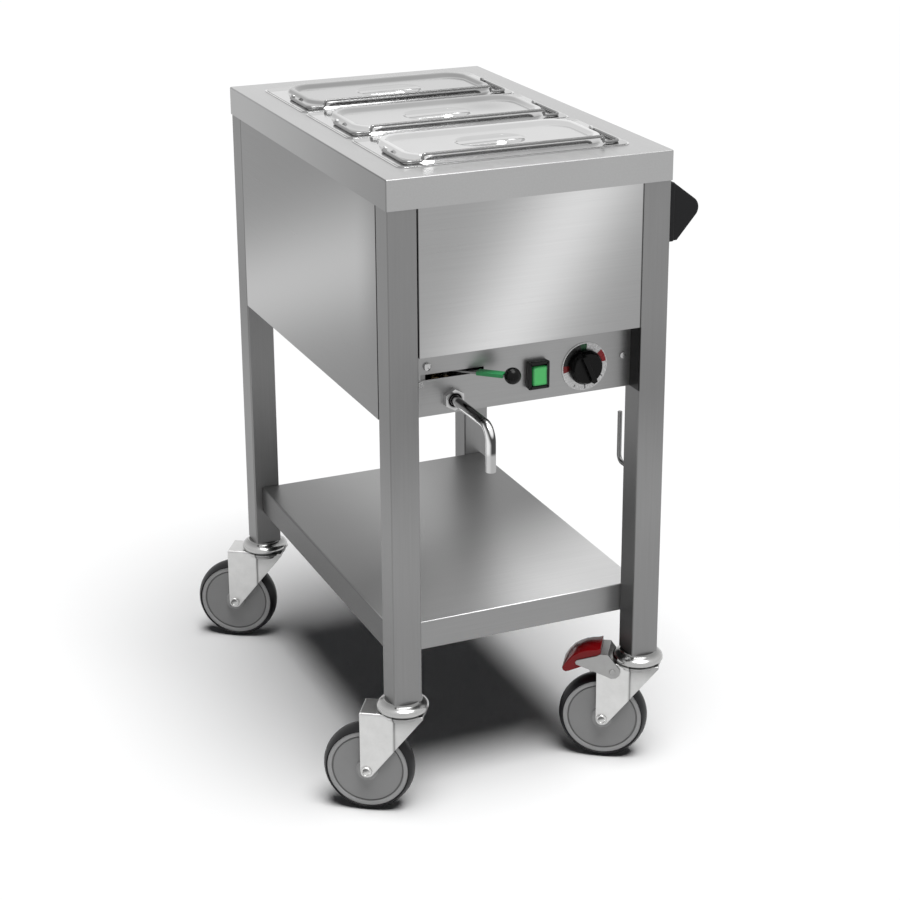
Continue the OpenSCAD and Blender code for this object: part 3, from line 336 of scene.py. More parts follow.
class Paint(Tree):
    def __init__(self, name):
        self.material = bpy.data.materials.new(name)
        super().__init__(self.material)
        self.place = self.node("TexCoord", out="Object")

    def stretched(self, scale):
        return self.node("Mapping", None, {"Vector": self.place, "Scale": scale})

    def noise(self, scale, detail=2.0, stretch=(1, 1, 1), roughness=0.5):
        return self.node("TexNoise", None, {"Vector": self.stretched(stretch), "Scale": scale,
                                            "Detail": detail, "Roughness": roughness})

    def axes(self, centre=(0, 0, 0)):  # the three coordinates in mm from a centre, as numbers
        centre = Vector(centre) + middle
        return [self.node("SeparateXYZ", None, {0: self.place}, i) * 1000.0 - centre[i] for i in range(3)]

    def facing(self, i):  # how far the surface faces along an axis, from -1 to 1
        return self.node("SeparateXYZ", None, {0: self.node("NewGeometry", out="Normal")}, i)

    def side(self, i, way=1):  # 1 on the side that faces along an axis, 0 on the others
        return (self.facing(i) * way).step(0.3, 0.8)

    def fold(self):  # 1 on the rounded edge of a top, falling away softly on both sides
        return (self.facing(2) - 0.7).hump(0.28)

    def blend(self, mask, a, b):
        colours = {6: a if isinstance(a, Wire) else (*a, 1), 7: b if isinstance(b, Wire) else (*b, 1)}
        return self.node("Mix", {"data_type": "RGBA"}, {0: mask, **colours}, out=2)

    def bump(self, height, strength, distance, under=None):
        inputs = {"Height": height, "Strength": strength, "Distance": distance * mm}
        if under:
            inputs["Normal"] = under
        return self.node("Bump", None, inputs)

    def done(self, colour, **sockets):
        names = {key.replace("_", " "): value for key, value in sockets.items()}
        shader = self.node("BsdfPrincipled", None, {"Base Color": colour, **names})
        self.node("OutputMaterial", None, {0: shader})
        return self.material


def grey(value):
    return value, value, value


def toned(paint, tone, mask, grain):  # a grey, its tone plain or worked out from the place on the trolley
    return (mask * (grain * 6) + (1 - grain * 3)) * (tone(paint) if callable(tone) else tone)


def brushedSteel(name, tone, along, rough=0.34, deep=0.02, grain=0.05):
    paint = Paint(name)  # fine scratches that run along one axis
    run = [420.0] * 3
    run["XYZ".index(along)] = 7.0
    scratches = paint.noise(1.0, 3.0, run, 0.65)
    cloud = paint.noise(5.0, 2.0)
    return paint.done(toned(paint, tone, scratches * 0.6 + cloud * 0.4, grain), Metallic=1.0,
                      Roughness=scratches * 0.16 + (rough - 0.08), Normal=paint.bump(scratches, deep, 0.4))


def polishedSteel(name, tone, rough=0.1, smears=0.08):
    paint = Paint(name)  # pressed bright sheet with faint handling marks
    marks = paint.noise(14.0, 4.0, (1, 1, 1), 0.6)
    ripple = paint.noise(26.0, 1.0)
    return paint.done(toned(paint, tone, marks, 0.02), Metallic=1.0, Roughness=marks * smears + rough,
                      Normal=paint.bump(ripple, 0.05, 0.6))


def panelSteel(name, tone, rough=0.3):
    paint = Paint(name)  # satin sheet whose polish drifts across it
    scratches = paint.noise(1.0, 3.0, (6.0, 6.0, 520.0), 0.6)
    return paint.done(toned(paint, tone, scratches, 0.02), Metallic=1.0,
                      Roughness=scratches * 0.12 + (rough - 0.06), Normal=paint.bump(scratches, 0.015, 0.3))


def moulded(name, colour, rough=0.4, grain=0.25, coat=0.0, shine=0.5):
    paint = Paint(name)  # moulded plastic with a fine leathery grain
    fine = paint.noise(900.0, 2.0)
    broad = paint.noise(22.0, 3.0)
    tint = paint.blend(broad, [c * 0.85 for c in colour], [min(1, c * 1.15) for c in colour])
    return paint.done(tint, Roughness=broad * 0.12 + (rough - 0.06), Coat_Weight=coat, Coat_Roughness=0.06,
                      Specular_IOR_Level=shine, Normal=paint.bump(fine, grain, 0.05))


def zincPlate(name, tone, rough=0.3, tint=(1.0, 1.0, 0.99), shade=None):
    paint = Paint(name)  # bright zinc plating, slightly mottled
    spangle = paint.noise(60.0, 3.0, (1, 1, 1), 0.7)
    fine = paint.noise(700.0, 2.0)
    colour = paint.blend(spangle, [tone * 0.86 * c for c in tint], [min(1, tone * 1.1) * c for c in tint])
    if shade:
        colour = paint.blend(shade(paint), colour, grey(0.03))
    return paint.done(colour, Metallic=1.0, Roughness=spangle * 0.14 + (rough - 0.06),
                      Normal=paint.bump(fine, 0.03, 0.05))


# tones over the trolley, as the photo shows them: painted light, shade and reflections laid over each steel's
# own grey

def deckToneAndPaintedLight(paint):  # painted light and shade: its left edge darker, most of all at the front, its top lighter, and painted shade on its rounded top edges to dim their highlight
    x, y, z = paint.axes()
    left = paint.side(0, -1) * (0.17 - y.step(-330, 260) * 0.13)
    return 0.385 - left + paint.side(2) * 0.19 - paint.fold() * 0.22


def legToneAndPaintedLight(paint):  # painted light and shade: slow waves up a leg, darker just under the body and lighter lower down, its left side darker
    x, y, z = paint.axes()
    left = paint.side(0, -1)
    inner = left * x.over(100)  # the left sides of the right legs
    recessShade = inner * (y + 281).step(1, -1) * (z - 557).step(-1, 1) * (z - 646).step(1, -1)  # painted shade on the right legs' inner sides, in the recess at the controls
    paintedWaves = (z - 560).hump(90) * -0.03 + (z - 400).hump(120) * 0.03
    # painted shade low down on the inner sides of the right legs
    low = inner * (z - 470).step(60, -120) * 0.05
    return (0.225 + paintedWaves - left * 0.035 - low) * (1 - recessShade * 0.9)


def shelfToneAndPaintedLight(paint):  # painted light and shade: a bright front right corner and a soft band along the middle of the top, the left edge and underside darker, and painted shade on the rounded folds
    x, y, z = paint.axes()
    top, left = paint.side(2), paint.side(0, -1)
    sheet = (x * 0.6 - y).step(20, 290) * 0.44 + 0.24 + x.hump(110) * 0.16
    edges = 0.27 - left * 0.18 - paint.side(2, -1) * 0.2
    return sheet * top + edges * (1 - top) - paint.fold() * 0.16 * (1 - left * 0.4)


def frontToneAndPaintedLight(paint):  # a painted highlight in a slanting gleam, a little darker to the right, and dark seams beside the legs
    x, y, z = paint.axes()
    gleam = (x - z * 0.6 + 432).hump(88) * 0.34
    right = (x - z * 0.3 + 200).step(40, 220) * 0.03
    seam = x.size().step(155.2, 155.8)
    return (gleam + 0.32 - right) * (1 - seam * 0.6)


def sideToneAndPaintedLight(paint):  # the same for the side panels: a painted highlight in a gleam that fades to the front, and dark seams beside the legs
    x, y, z = paint.axes()
    gleam = (z + y * 0.38 - 675).hump(88) * (y.step(-300, -190) * 0.19 + 0.07)
    seam = y.size().step(266.6, 267.2)
    return (gleam + 0.16) * (1 - seam * 0.6)


def rearTone(paint):  # dark below, where the floor's shade is mirrored
    return 0.45 - paint.side(2, -1) * 0.37


def controlToneAndPaintedShade(paint):  # painted shade: a little darker to the right
    x, y, z = paint.axes()
    return 0.3 - (x - 60).step(0, 90) * 0.05


def panToneAndPaintedLight(paint):
    # painted light: a pan's top lighter than its walls
    return 0.46 + paint.side(2) * 0.3


def outer(y):  # 1 on a lid's front and back walls and its flat rim, 0 on its sunk floor
    return ((((y + panSpan / 2) / panPitch) % 1.0 - 0.5) * panPitch).size().step(60, 64)


def lidToneAndPaintedReflection(paint):
    # painted reflections on a polished lid: its sunk floor lighter at the front and darker to the rear, a
    # dark patch right of the middle lid's grip, a lighter ridge, and the lower parts an even grey, darker on
    # the walls and rim
    x, y, z = paint.axes()
    floor = 0.62 - y.step(-110, 150) * 0.3 - (x - 78).hump(34) * (y - 12).hump(28) * 0.4
    ridge = z.step(887.6, 888.8) * (0.16 - y.step(-110, 150) * 0.06)
    low = z.step(885.5, 882.6)
    return (floor + ridge) * (1 - low) + (0.62 - outer(y) * 0.14) * low


def chromePaintedReflections(paint):  # painted reflections: dark where the room would be mirrored, painted highlights on the lower left and on the bend, and painted light and shade on the nut's collar
    across, along, up = [paint.facing(i) for i in range(3)]
    x, y, z = paint.axes()
    light = (across * -0.8 - up * 0.6).step(0.15, 0.6) * 0.72
    bendHighlight = (up * 0.7 - along * 0.7).step(0.84, 0.96) * 0.85
    nut, tip = y.step(-304, -301), z.step(546, 540) * 0.8
    shiny = light * (1 - bendHighlight) + bendHighlight + across.step(0.8, 0.96) * 0.45 + 0.06
    aside, above = x - spoutX, z - spoutZ
    radius = (aside * aside + above * above) ** 0.5
    # painted light on the collar: its face and left side lighter, with painted shade round the pipe's root
    face = (0 - along).step(0.6, 0.9)
    collar = face * 0.4 + (0 - across).step(0.1, 0.8) * 0.42 + 0.07 - face * (radius - 8).hump(2) * 0.55
    return (shiny * (1 - tip) + tip * 0.5) * (1 - nut) + nut * collar


def byCaster(paint):  # the nearest caster's own coordinates: along, across and up from its axle
    x, y, z = paint.axes()
    x, y = [at - at.sum("SIGN", at) * leg for at, leg in ((x, legX), (y, legY))]
    c, s = math.cos(math.radians(casterTurn)), math.sin(math.radians(casterTurn))
    return x * c + y * s + trail, y * c - x * s, z - axleHigh


def forkShade(paint):  # dark in the crease and under the ring
    along, across, up = byCaster(paint)
    behind = (along - 38).step(-0.5, 0.5)
    return (along - 38.4).hump(1.6) * 0.5 + behind * 0.14 + behind * up.step(58, 84) * 0.3


def axleShade(paint):  # a dark crescent in the bolt's sunk head
    along, across, up = byCaster(paint)
    radius = (along * along + up * up) ** 0.5
    return radius.step(5.2, 4.6) * (up - along * 0.4).step(-3, 2.5) * 0.8


def ringShade(paint):
    along, across, up = byCaster(paint)
    return up.step(98, 102) * 0.45 + up.step(92, 90) * 0.5


def wheelPaint():
    paint = Paint("greyWheel")  # grey plastic centre with a paler rim and painted shade in its groove
    along, across, up = byCaster(paint)
    radius = (along * along + up * up) ** 0.5
    fine, broad = paint.noise(900.0, 2.0), paint.noise(22.0, 3.0)
    rim, grooveShade = radius.step(49, 50) * 0.09, (radius - 48.3).hump(0.9) * 0.16
    tone = broad * 0.06 + 0.25 + radius.step(20, 4) * 0.06 + rim - grooveShade
    return paint.done(tone, Roughness=broad * 0.12 + 0.44, Specular_IOR_Level=0.3,
                      Normal=paint.bump(fine, 0.3, 0.05))


paints = {
    "deck": brushedSteel("deckSteel", deckToneAndPaintedLight, "Y", 0.36),
    "legs": brushedSteel("legSteel", legToneAndPaintedLight, "Z", 0.4),
    "shelf": brushedSteel("shelfSteel", shelfToneAndPaintedLight, "X", 0.38),
    "front": panelSteel("frontPanelSteel", frontToneAndPaintedLight),
    "side": panelSteel("sidePanelSteel", sideToneAndPaintedLight),
    "control": brushedSteel("controlPanelSteel", controlToneAndPaintedShade, "X", 0.34),
    "rear": panelSteel("rearPanelSteel", rearTone),
    "inner": brushedSteel("innerSteel", 0.4, "Y", 0.45),
    "pan": polishedSteel("panSteel", panToneAndPaintedLight, 0.2),
    "lid": polishedSteel("lidSteel", lidToneAndPaintedReflection, 0.07),
    "wire": polishedSteel("wireSteel", 0.24, 0.16),
    "chrome": polishedSteel("spoutChrome", chromePaintedReflections, 0.05, 0.05),
    "bright": polishedSteel("brightSteel", 0.45, 0.14, 0.05),
    "zinc": zincPlate("forkZinc", 0.62, 0.34, shade=forkShade),
    "axle": zincPlate("axleZinc", 0.62, 0.3, shade=axleShade),
    "ring": zincPlate("ringZinc", 0.44, 0.2, shade=ringShade),
    "lever": zincPlate("leverZinc", 0.34, 0.4),
    "brass": zincPlate("valveBrass", 0.6, 0.3, (1.0, 0.76, 0.42)),
    "blackGloss": moulded("blackGloss", (0.004, 0.004, 0.004), 0.26, 0.04, 0.0, 0.12),
    "blackSatin": moulded("blackSatin", (0.008, 0.008, 0.008), 0.4, 0.2, 0.0, 0.22),
    "blackMatte": moulded("blackMatte", (0.009, 0.009, 0.01), 0.6, 0.4, 0.0, 0.2),
    "green": moulded("greenSleeve", (0.01, 0.25, 0.07), 0.4, 0.15),
    "red": moulded("redPedal", (0.2, 0.003, 0.005), 0.14, 0.0, 0.05, 0.2),
    "ivory": moulded("ivoryBlock", (0.7, 0.66, 0.55), 0.5, 0.2),
    "wheel": wheelPaint(),
    "tyre": moulded("blackTyre", (0.008, 0.008, 0.009), 0.42, 0.3, 0.0, 0.22),
}
print("materials ready:", len(paints))

# CAD nodes that keep their shape
keeps = {
    "front": ["front_panel"], "side": ["side_panels"], "control": ["control_panel"],
    "rear": ["rear_panel", "base_cover"], "inner": ["well", "well_base"],
    "pan": ["pan_front", "pan_middle", "pan_rear"],
    "wire": ["bail_front", "bail_middle", "bail_rear", "heater"],
    "chrome": ["drain_spout"],
    "bright": ["panel_screws", "handle_screws", "limiter", "handle_bar", "swivel_balls"],
    "legs": ["cable_hooks", "drain_lever"], "brass": ["drain_pipe", "valve_body"],
    "blackGloss": ["lever_knob"], "blackMatte": ["cable_gland"], "ivory": ["terminal_block"],
    "lever": ["thermostat"],
}


def repaint(node, paint):
    nodes[node].data.materials.clear()
    nodes[node].data.materials.append(paint)


for key, members in keeps.items():
    for node in members:
        repaint(node, paints[key])

# worktop: one folded sheet with the opening for the pans
worktop = {"sheet": 1.5, "fold": 2.4, "inset": 20, "openWide": 303.2, "openLong": 508.2, "openCorner": 16}


def makeWorktop():
    low, high = span("deck")
    obj = block("worktop", low, high)
    pick(obj, "FACE", lambda at, way: way.z < -0.9)
    bpy.ops.mesh.delete(type="FACE")
    pick(obj, "FACE", lambda at, way: way.z > 0.9)
    bpy.ops.mesh.inset(thickness=worktop["inset"] * mm)
    move(obj, lambda p: (math.copysign(worktop["openWide"] / 2, p.x),
                         math.copysign(worktop["openLong"] / 2, p.y), p.z))
    bpy.ops.mesh.delete(type="FACE")
    inside = high.x - worktop["inset"]
    roundCorners(obj, lambda at, way: abs(at.x) < inside, worktop["openCorner"])
    roundEdges(obj, lambda at, way: (abs(way.z) > 0.9)
               or (at.z > high.z - 1 and (abs(at.x) > high.x - 1 or abs(at.y) > high.y - 1)),
               worktop["fold"], 4)
    wall(obj, worktop["sheet"])
    finished(obj, "chassis", paints["deck"], ["deck"])


makeWorktop()
print("worktop made")

# legs: the CAD tubes with their long edges rounded
legRound = 2.2
legs = copyOfNode("legs", "legTubes")
roundEdges(legs, lambda at, way: abs(way.z) > 0.99 and abs(abs(abs(at.x) - legX) - legHalf) < 0.05
           and abs(abs(abs(at.y) - legY) - legHalf) < 0.05, legRound, 4)
finished(legs, "chassis", paints["legs"], ["legs"])
print("legs made")

# lower shelf: a tray turned upside down
shelf = {"sheet": 1.5, "fold": 2.6}


def makeShelf():
    low, high = span("shelf")
    obj = block("lowerShelf", low, high)
    pick(obj, "FACE", lambda at, way: way.z < -0.9)
    bpy.ops.mesh.delete(type="FACE")
    roundEdges(obj, lambda at, way: abs(way.z) > 0.9 or at.z > high.z - 1, shelf["fold"], 4)
    wall(obj, shelf["sheet"])
    finished(obj, "chassis", paints["shelf"], ["shelf"])


makeShelf()
print("shelf made")

# lids: a pressed sheet with a raised rim, a sunk floor and an oval grip under a strap
lid = {
    "sheet": 1.0,
    "rings": [  # from the rim's edge inwards: wide, long, corner, height
        (320, 171, 11.5, 881.3), (319.2, 170.2, 11.1, 882), (284.6, 139.6, 34, 882),
        (282.4, 137.4, 34, 882.3), (280, 135, 33.6, 884.4), (277.6, 132.6, 32.8, 887),
        (276, 131, 32.2, 888.2), (273.8, 128.8, 31.4, 888.85), (270.6, 125.6, 30.6, 889),
        (267.6, 122.6, 30, 889), (265.2, 119.6, 29.6, 888.8), (263.6, 115, 29, 888),
        (259.4, 98, 26.4, 885.1), (257.6, 91, 25, 884.25), (255.6, 86, 24, 884),
        (101, 63, 31.4, 883.9), (95.6, 57.6, 28.7, 883.5), (92.4, 54.4, 27.1, 882.4),
        (87.6, 49.6, 24.7, 876), (82, 44, 21.9, 873.2), (72, 34, 16.9, 872.2), (50, 12, 5.9, 872),
    ],
    "strapLong": 92.6, "strapWide": 14, "strapTop": 883.4, "strapThick": 1.2,
    "strapWaist": 0.16, "strapBow": 0.5,  # how much narrower and how much higher it is in the middle
    "earX": 145.2, "earThick": 2.5, "earWide": 9,
}


def makeLid():
    obj = stacked("lidSheet", lid["rings"], 12)
    pick(obj, "FACE", lambda at, way: abs(at.x) < 1 and abs(at.y) < 1 and at.z > 878)
    bpy.ops.mesh.delete(type="FACE")
    outwards(obj)
    wall(obj, lid["sheet"])
    half, wide, top = lid["strapLong"] / 2, lid["strapWide"] / 2, lid["strapTop"]
    strap = block("lidStrap", (-half, -wide, top - lid["strapThick"]), (half, wide, top))
    pick(strap, "EDGE", lambda at, way: abs(way.x) > 0.9)
    bpy.ops.mesh.subdivide(number_cuts=15)
    pickAll(strap)
    move(strap, lambda p: (p.x, p.y * (1 - lid["strapWaist"] * math.cos(p.x / half * math.pi / 2)),
                           p.z + lid["strapBow"] * math.cos(p.x / half * math.pi / 2)))
    roundEdges(strap, lambda at, way: abs(way.x) > 0.9 and abs(at.y) > 4, 0.5, 2)
    low, high = span("lid_front")
    ears = []
    for side in (-1, 1):
        x = sorted([side * lid["earX"], side * (lid["earX"] + lid["earThick"])])
        ear = block("lidEar", (x[0], -lid["earWide"] / 2, 882), (x[1], lid["earWide"] / 2, high.z))
        roundEdges(ear, lambda at, way: abs(way.x) > 0.9 and at.z > high.z - 1, 3.2, 5)
        ears.append(ear)
    return joined("lidSheet", obj, strap, *ears)


firstLid = makeLid()
for key in stacks:
    low, high = span("lid_" + key)
    twin = copyOf(firstLid, "lid" + key.title())
    finished(twin, "lid_body_" + key, paints["lid"], ["lid_" + key],
             Matrix.Translation((0, (low.y + high.y) / 2 * mm, 0)))
bpy.data.objects.remove(firstLid)
print("lids made")

# switch: black bezel with a recessed face, and a green rocker with a painted glow
switch = {"x": 19, "z": 593.5, "front": -291.5, "wide": 30, "tall": 38, "deep": 34,
          "frame": 3, "round": 1.2, "sunk": 2.2, "rockerHalf": 10, "rockerTall": 12.5, "rockerBow": 0.9}


def makeSwitch():
    x, z, y = switch["x"], switch["z"], switch["front"]
    w, h = switch["wide"] / 2, switch["tall"] / 2
    obj = block("switchBezel", (x - w, y, z - h), (x + w, y + switch["deep"], z + h))
    pick(obj, "FACE", lambda at, way: way.y > 0.9)
    move(obj, lambda p: (x + (p.x - x) * 0.86, p.y, z + (p.z - z) * 0.89))
    roundEdges(obj, lambda at, way: abs(way.y) > 0.9, 2, 4)
    roundEdges(obj, lambda at, way: at.y < y + 0.1, switch["round"], 3)
    pick(obj, "FACE", lambda at, way: way.y < -0.99 and abs(at.x - x) < 1)
    bpy.ops.mesh.inset(thickness=switch["frame"] * mm)
    bpy.ops.mesh.inset(thickness=0.3 * mm)
    move(obj, lambda p: (p.x, p.y + switch["sunk"], p.z))
    finished(obj, "chassis", paints["blackSatin"], ["switch_housing"])
    low, high = span("switch_rocker")
    rocker = block("switchRocker", (low.x + 2.05, low.y, low.z), (high.x - 2.05, low.y + 9, high.z))
    pick(rocker, "EDGE", lambda at, way: abs(way.z) > 0.9)
    bpy.ops.mesh.subdivide(number_cuts=9)
    pick(rocker, "FACE", lambda at, way: way.y < -0.9)
    tall, bow = switch["rockerTall"], switch["rockerBow"]
    move(rocker, lambda p: (p.x, p.y + bow * (1 - ((p.z - z) / tall) ** 2), p.z))
    roundEdges(rocker, lambda at, way: abs(at.y - low.y) < 1.2 and abs(way.x) < 0.5
               and abs(abs(at.x - x) - switch["rockerHalf"]) < 0.4, 0.7, 3)
    finished(rocker, "power_rocker", rockerGlowPaint(), ["switch_rocker"])


def rockerGlowPaint():
    paint = Paint("greenPaintedGlow")  # clear green plastic with a painted glow in its middle, darker at its edges
    x, y, z = paint.axes((switch["x"], 0, switch["z"]))
    sides, ends = x.size() / switch["rockerHalf"], z.size() / switch["rockerTall"]
    edge = sides.step(0.7, 0.95) * 0.7 + ends.step(0.78, 1.0) * 0.6
    ribs = paint.noise(500.0, 1.0)
    colour = paint.blend(edge, (0.05, 0.36, 0.1), (0.01, 0.14, 0.04))
    paintedGlow = paint.blend(edge, (0.03, 0.3, 0.06), (0.0, 0.05, 0.01))
    return paint.done(colour, Roughness=ribs * 0.1 + 0.25, Emission_Color=paintedGlow, Emission_Strength=0.5,
                      Normal=paint.bump(ribs, 0.1, 0.05))


makeSwitch()
print("switch made")

# thermostat: scale plate and turned knob with a grip across it
knob = {"x": 89, "z": 593.5, "radius": 23.5, "gripWide": 9, "gripUp": 7, "turn": -24}


def makeKnob():
    low, high = span("thermostat_knob")
    back, front = high.y, low.y + knob["gripUp"]
    r = knob["radius"]
    obj = turned("thermostatKnob", [
        (0, back), (r - 0.4, back), (r, back - 0.4), (r, back - 5.4), (r - 0.7, back - 6.6),
        (r - 2.6, front + 2), (r - 3.3, front + 0.7), (r - 4.6, front), (r - 9, front + 0.5),
        (0, front + 0.5)], (knob["x"], 0, knob["z"]), "Y")
    wide, long = knob["gripWide"] / 2, r - 3.2
    grip = block("knobGrip", (-wide, low.y, -long), (wide, front + 3, long))
    pick(grip, "EDGE", lambda at, way: abs(way.z) > 0.9)
    bpy.ops.mesh.subdivide(number_cuts=9)
    pick(grip, "VERT", lambda at, way: at.y < front)
    move(grip, lambda p: (p.x * 0.72, p.y + 2.4 * (abs(p.z) / r) ** 4, p.z))
    roundEdges(grip, lambda at, way: at.y < front and abs(way.x) < 0.5, 1.4, 4)
    tidyPicks()
    grip.data.transform(Matrix.Translation(Vector((knob["x"], 0, knob["z"])) * mm)
                        @ Matrix.Rotation(math.radians(knob["turn"]), 4, "Y"))
    finished(joined("thermostatKnob", obj, grip), "temperature_knob",
             paints["blackGloss"], ["thermostat_knob"])


dialMarks = [  # angle, half width, inner and outer radius, colour
    (-46, 46, 22, 31.4, grey(0.012)), (-3, 9, 22, 31.4, (0.006, 0.06, 0.02)),
    (-92, 9, 22, 31.4, (0.17, 0.008, 0.01)), (66, 17, 22, 31.6, (0.24, 0.008, 0.012)),
    (179, 2.2, 25, 31, grey(0.05)), (150, 1.4, 27, 31, grey(0.1)),
    (122, 1.4, 27, 31, grey(0.1)), (-150, 1.4, 27, 31, grey(0.1)),
]


def dialPaint():
    paint = Paint("dialScale")  # silver ring with coloured marks, read by angle and radius
    x, y, z = paint.axes((knob["x"], 0, knob["z"]))
    radius = (x * x + z * z) ** 0.5
    angle = paint.node("Math", {"operation": "ARCTAN2"}, {0: x, 1: z}) * (180 / math.pi)  # 0 up, 90 right

    def mark(at, half, inner, outer):
        near = 1 - (angle - at).size().step(half - 0.8, half + 0.8)
        return near * radius.over(inner) * (1 - radius.over(outer))

    fine = paint.noise(300.0, 2.0)
    colour = paint.blend(fine, grey(0.5), grey(0.62))
    for at, half, inner, outer, tint in dialMarks:
        colour = paint.blend(mark(at, half, inner, outer), colour, tint)
    return paint.done(colour, Metallic=0.35, Roughness=fine * 0.1 + 0.22, Specular_IOR_Level=0.4,
                      Normal=paint.bump(fine, 0.05, 0.05))


makeKnob()
repaint("dial_plate", dialPaint())
print("thermostat made")

# drain lever's sleeve
sleeveRound = 0.7
sleeve = copyOfNode("lever_sleeve", "leverSleeve")
roundEdges(sleeve, lambda at, way: True, sleeveRound)
finished(sleeve, "drain_handle", paints["green"], ["lever_sleeve"])
print("sleeve made")

# push bar brackets: a moulded base with a rounded nose
bracket = {"baseX": 197, "baseThick": 8, "baseWide": 33, "wide": 28, "low": 756, "high": 835,
           "nose": (226.5, 798), "noseRound": 15.5, "toe": 14}


def makeBracket(side):
    y = side * legY
    x0, x1 = bracket["baseX"], bracket["baseX"] + bracket["baseThick"]
    nx, nz = bracket["nose"]
    r = bracket["noseRound"]
    arc = [(nx + r * math.cos(math.radians(turn)), nz + r * math.sin(math.radians(turn)))
           for turn in range(50, -42, -7)]
    outline = [(x1 - 3, bracket["high"] - 0.4), (x1 + 0.5, bracket["high"] - 1.4), *arc,
               (x0 + bracket["toe"], bracket["low"] + 0.4), (x1 - 3, bracket["low"] + 0.4)]
    half = bracket["wide"] / 2
    obj = plate("barBracket", outline, y - half, y + half)
    roundEdges(obj, lambda at, way: abs(way.y) < 0.5 and abs(abs(at.y - y) - half) < 0.1, 2.2, 4)
    base = block("bracketBase", (x0, y - bracket["baseWide"] / 2, bracket["low"]),
                 (x1, y + bracket["baseWide"] / 2, bracket["high"]))
    roundEdges(base, lambda at, way: at.x > x1 - 0.1 or abs(way.x) > 0.9, 2, 3)
    return joined("barBracket", obj, base)


finished(joined("barBrackets", makeBracket(-1), makeBracket(1)), "chassis",
         paints["blackMatte"], ["handle_brackets"])
print("brackets made")

# casters: modelled once about the swivel axis with the wheel trailing along -X, then copied
caster = {"inner": 19, "outer": 21.5, "crease": -9, "creaseHalf": 0.9, "creaseDeep": 0.9,
          "toeRound": 8.5, "nose": 31, "cheekTop": 148.4, "crownLow": 147, "crownTop": 150}
axle = (-trail, 0, axleHigh)


def makeRace():
    return turned("headRing", [
        (0, 151.3), (26, 151.3), (26, 153.2), (32.6, 152.4), (34.2, 152.9), (35, 154.4), (35, 156.6),
        (34.3, 158.8), (32.4, 161), (29.4, 162.7), (26.8, 163.6), (25.2, 164.8), (24.6, 166.9),
        (0, 166.9)], steps=96)


def makeFork():
    toe, nose, outer, crease = [caster[key] for key in ("toeRound", "nose", "outer", "crease")]
    outline = [(-trail - toe, caster["cheekTop"])]
    for k in range(15):  # round the axle, a little wider towards the nose
        r, turn = toe + 1.5 * k / 14, math.radians(180 + 10 * k)
        outline.append((-trail + r * math.cos(turn), axleHigh + r * math.sin(turn)))
    outline += [(nose, 146), (nose, caster["cheekTop"])]
    cheeks = []
    for side in (-1, 1):
        low, high = sorted([side * caster["inner"], side * outer])
        cheek = plate("cheek", outline, low, high)
        for x in (crease - caster["creaseHalf"], crease + caster["creaseHalf"]):
            pickAll(cheek)
            bpy.ops.mesh.bisect(plane_co=(x * mm, 0, 0), plane_no=(1, 0, 0))
        pick(cheek, "VERT", lambda at, way: at.x > crease and abs(at.y) > outer - 0.1)
        move(cheek, lambda p: (p.x, p.y - side * caster["creaseDeep"], p.z))
        roundEdges(cheek, lambda at, way: abs(way.y) < 0.5 and abs(at.y) > outer - 1.2 and not (
            abs(at.x - crease) < 1.2 or (crease + 1 < at.x < nose - 1 and abs(way.x) < 0.1)), 0.7, 2)
        cheeks.append(cheek)
    crown = block("crown", (-trail - toe, -outer, caster["crownLow"]), (nose, outer, caster["crownTop"]))
    roundEdges(crown, lambda at, way: at.z > caster["crownTop"] - 0.1, 2.0, 4)
    dish = turned("dish", [(6.2, 149.9), (31.6, 149.9), (32.4, 149.2), (32.2, 147.6), (30.4, 145.8),
                           (28.2, 144.6), (27.6, 142.2), (26, 140.9), (6.2, 140.9)])
    return joined("fork", *cheeks, crown, dish)


def makeHub():
    side = [(6.3, 18), (13.2, 18), (14.8, 17), (15.2, 13.4), (22, 12.7), (34, 12.7), (46.2, 13.5),
            (47.2, 13.2), (47.6, 12.6), (48.9, 12.6), (49.3, 13.8), (50.2, 14.5), (54, 14.6),
            (55.2, 14.2), (55.5, 13.6)]
    return turned("hub", mirrored(side), axle, "Y", 96)


def makeTyre():
    side = [(55.5, 14.4), (56, 15.6), (57, 15.9), (58, 14.5), (59.1, 12.7), (60.5, 9.9), (61.6, 6.5),
            (62.3, 3.2), (62.47, 0.6)]
    return turned("tyre", mirrored(side), axle, "Y", 128)


def makeAxle():
    o = caster["outer"]
    bolt = turned("axleBolt", [
        (0, -o - 1.2), (4.8, -o - 1.2), (5.2, -o - 1.6), (5.4, -o - 3.2), (6, -o - 3.5), (7, -o - 3.3),
        (7.5, -o - 2.6), (7.5, -o), (4, -o), (4, o), (7.4, o), (7.4, o + 2.4), (6.8, o + 3.2),
        (5.9, o + 3.5), (5.4, o + 3.1), (5.2, o + 1.6), (4.8, o + 1.2), (0, o + 1.2)], axle, "Y", 48)
    sleeveHalf = caster["inner"] - 0.1
    tube = turned("axleTube", mirrored([(4.2, sleeveHalf), (6, sleeveHalf)]), axle, "Y", 36)
    return joined("axleBolt", bolt, tube)


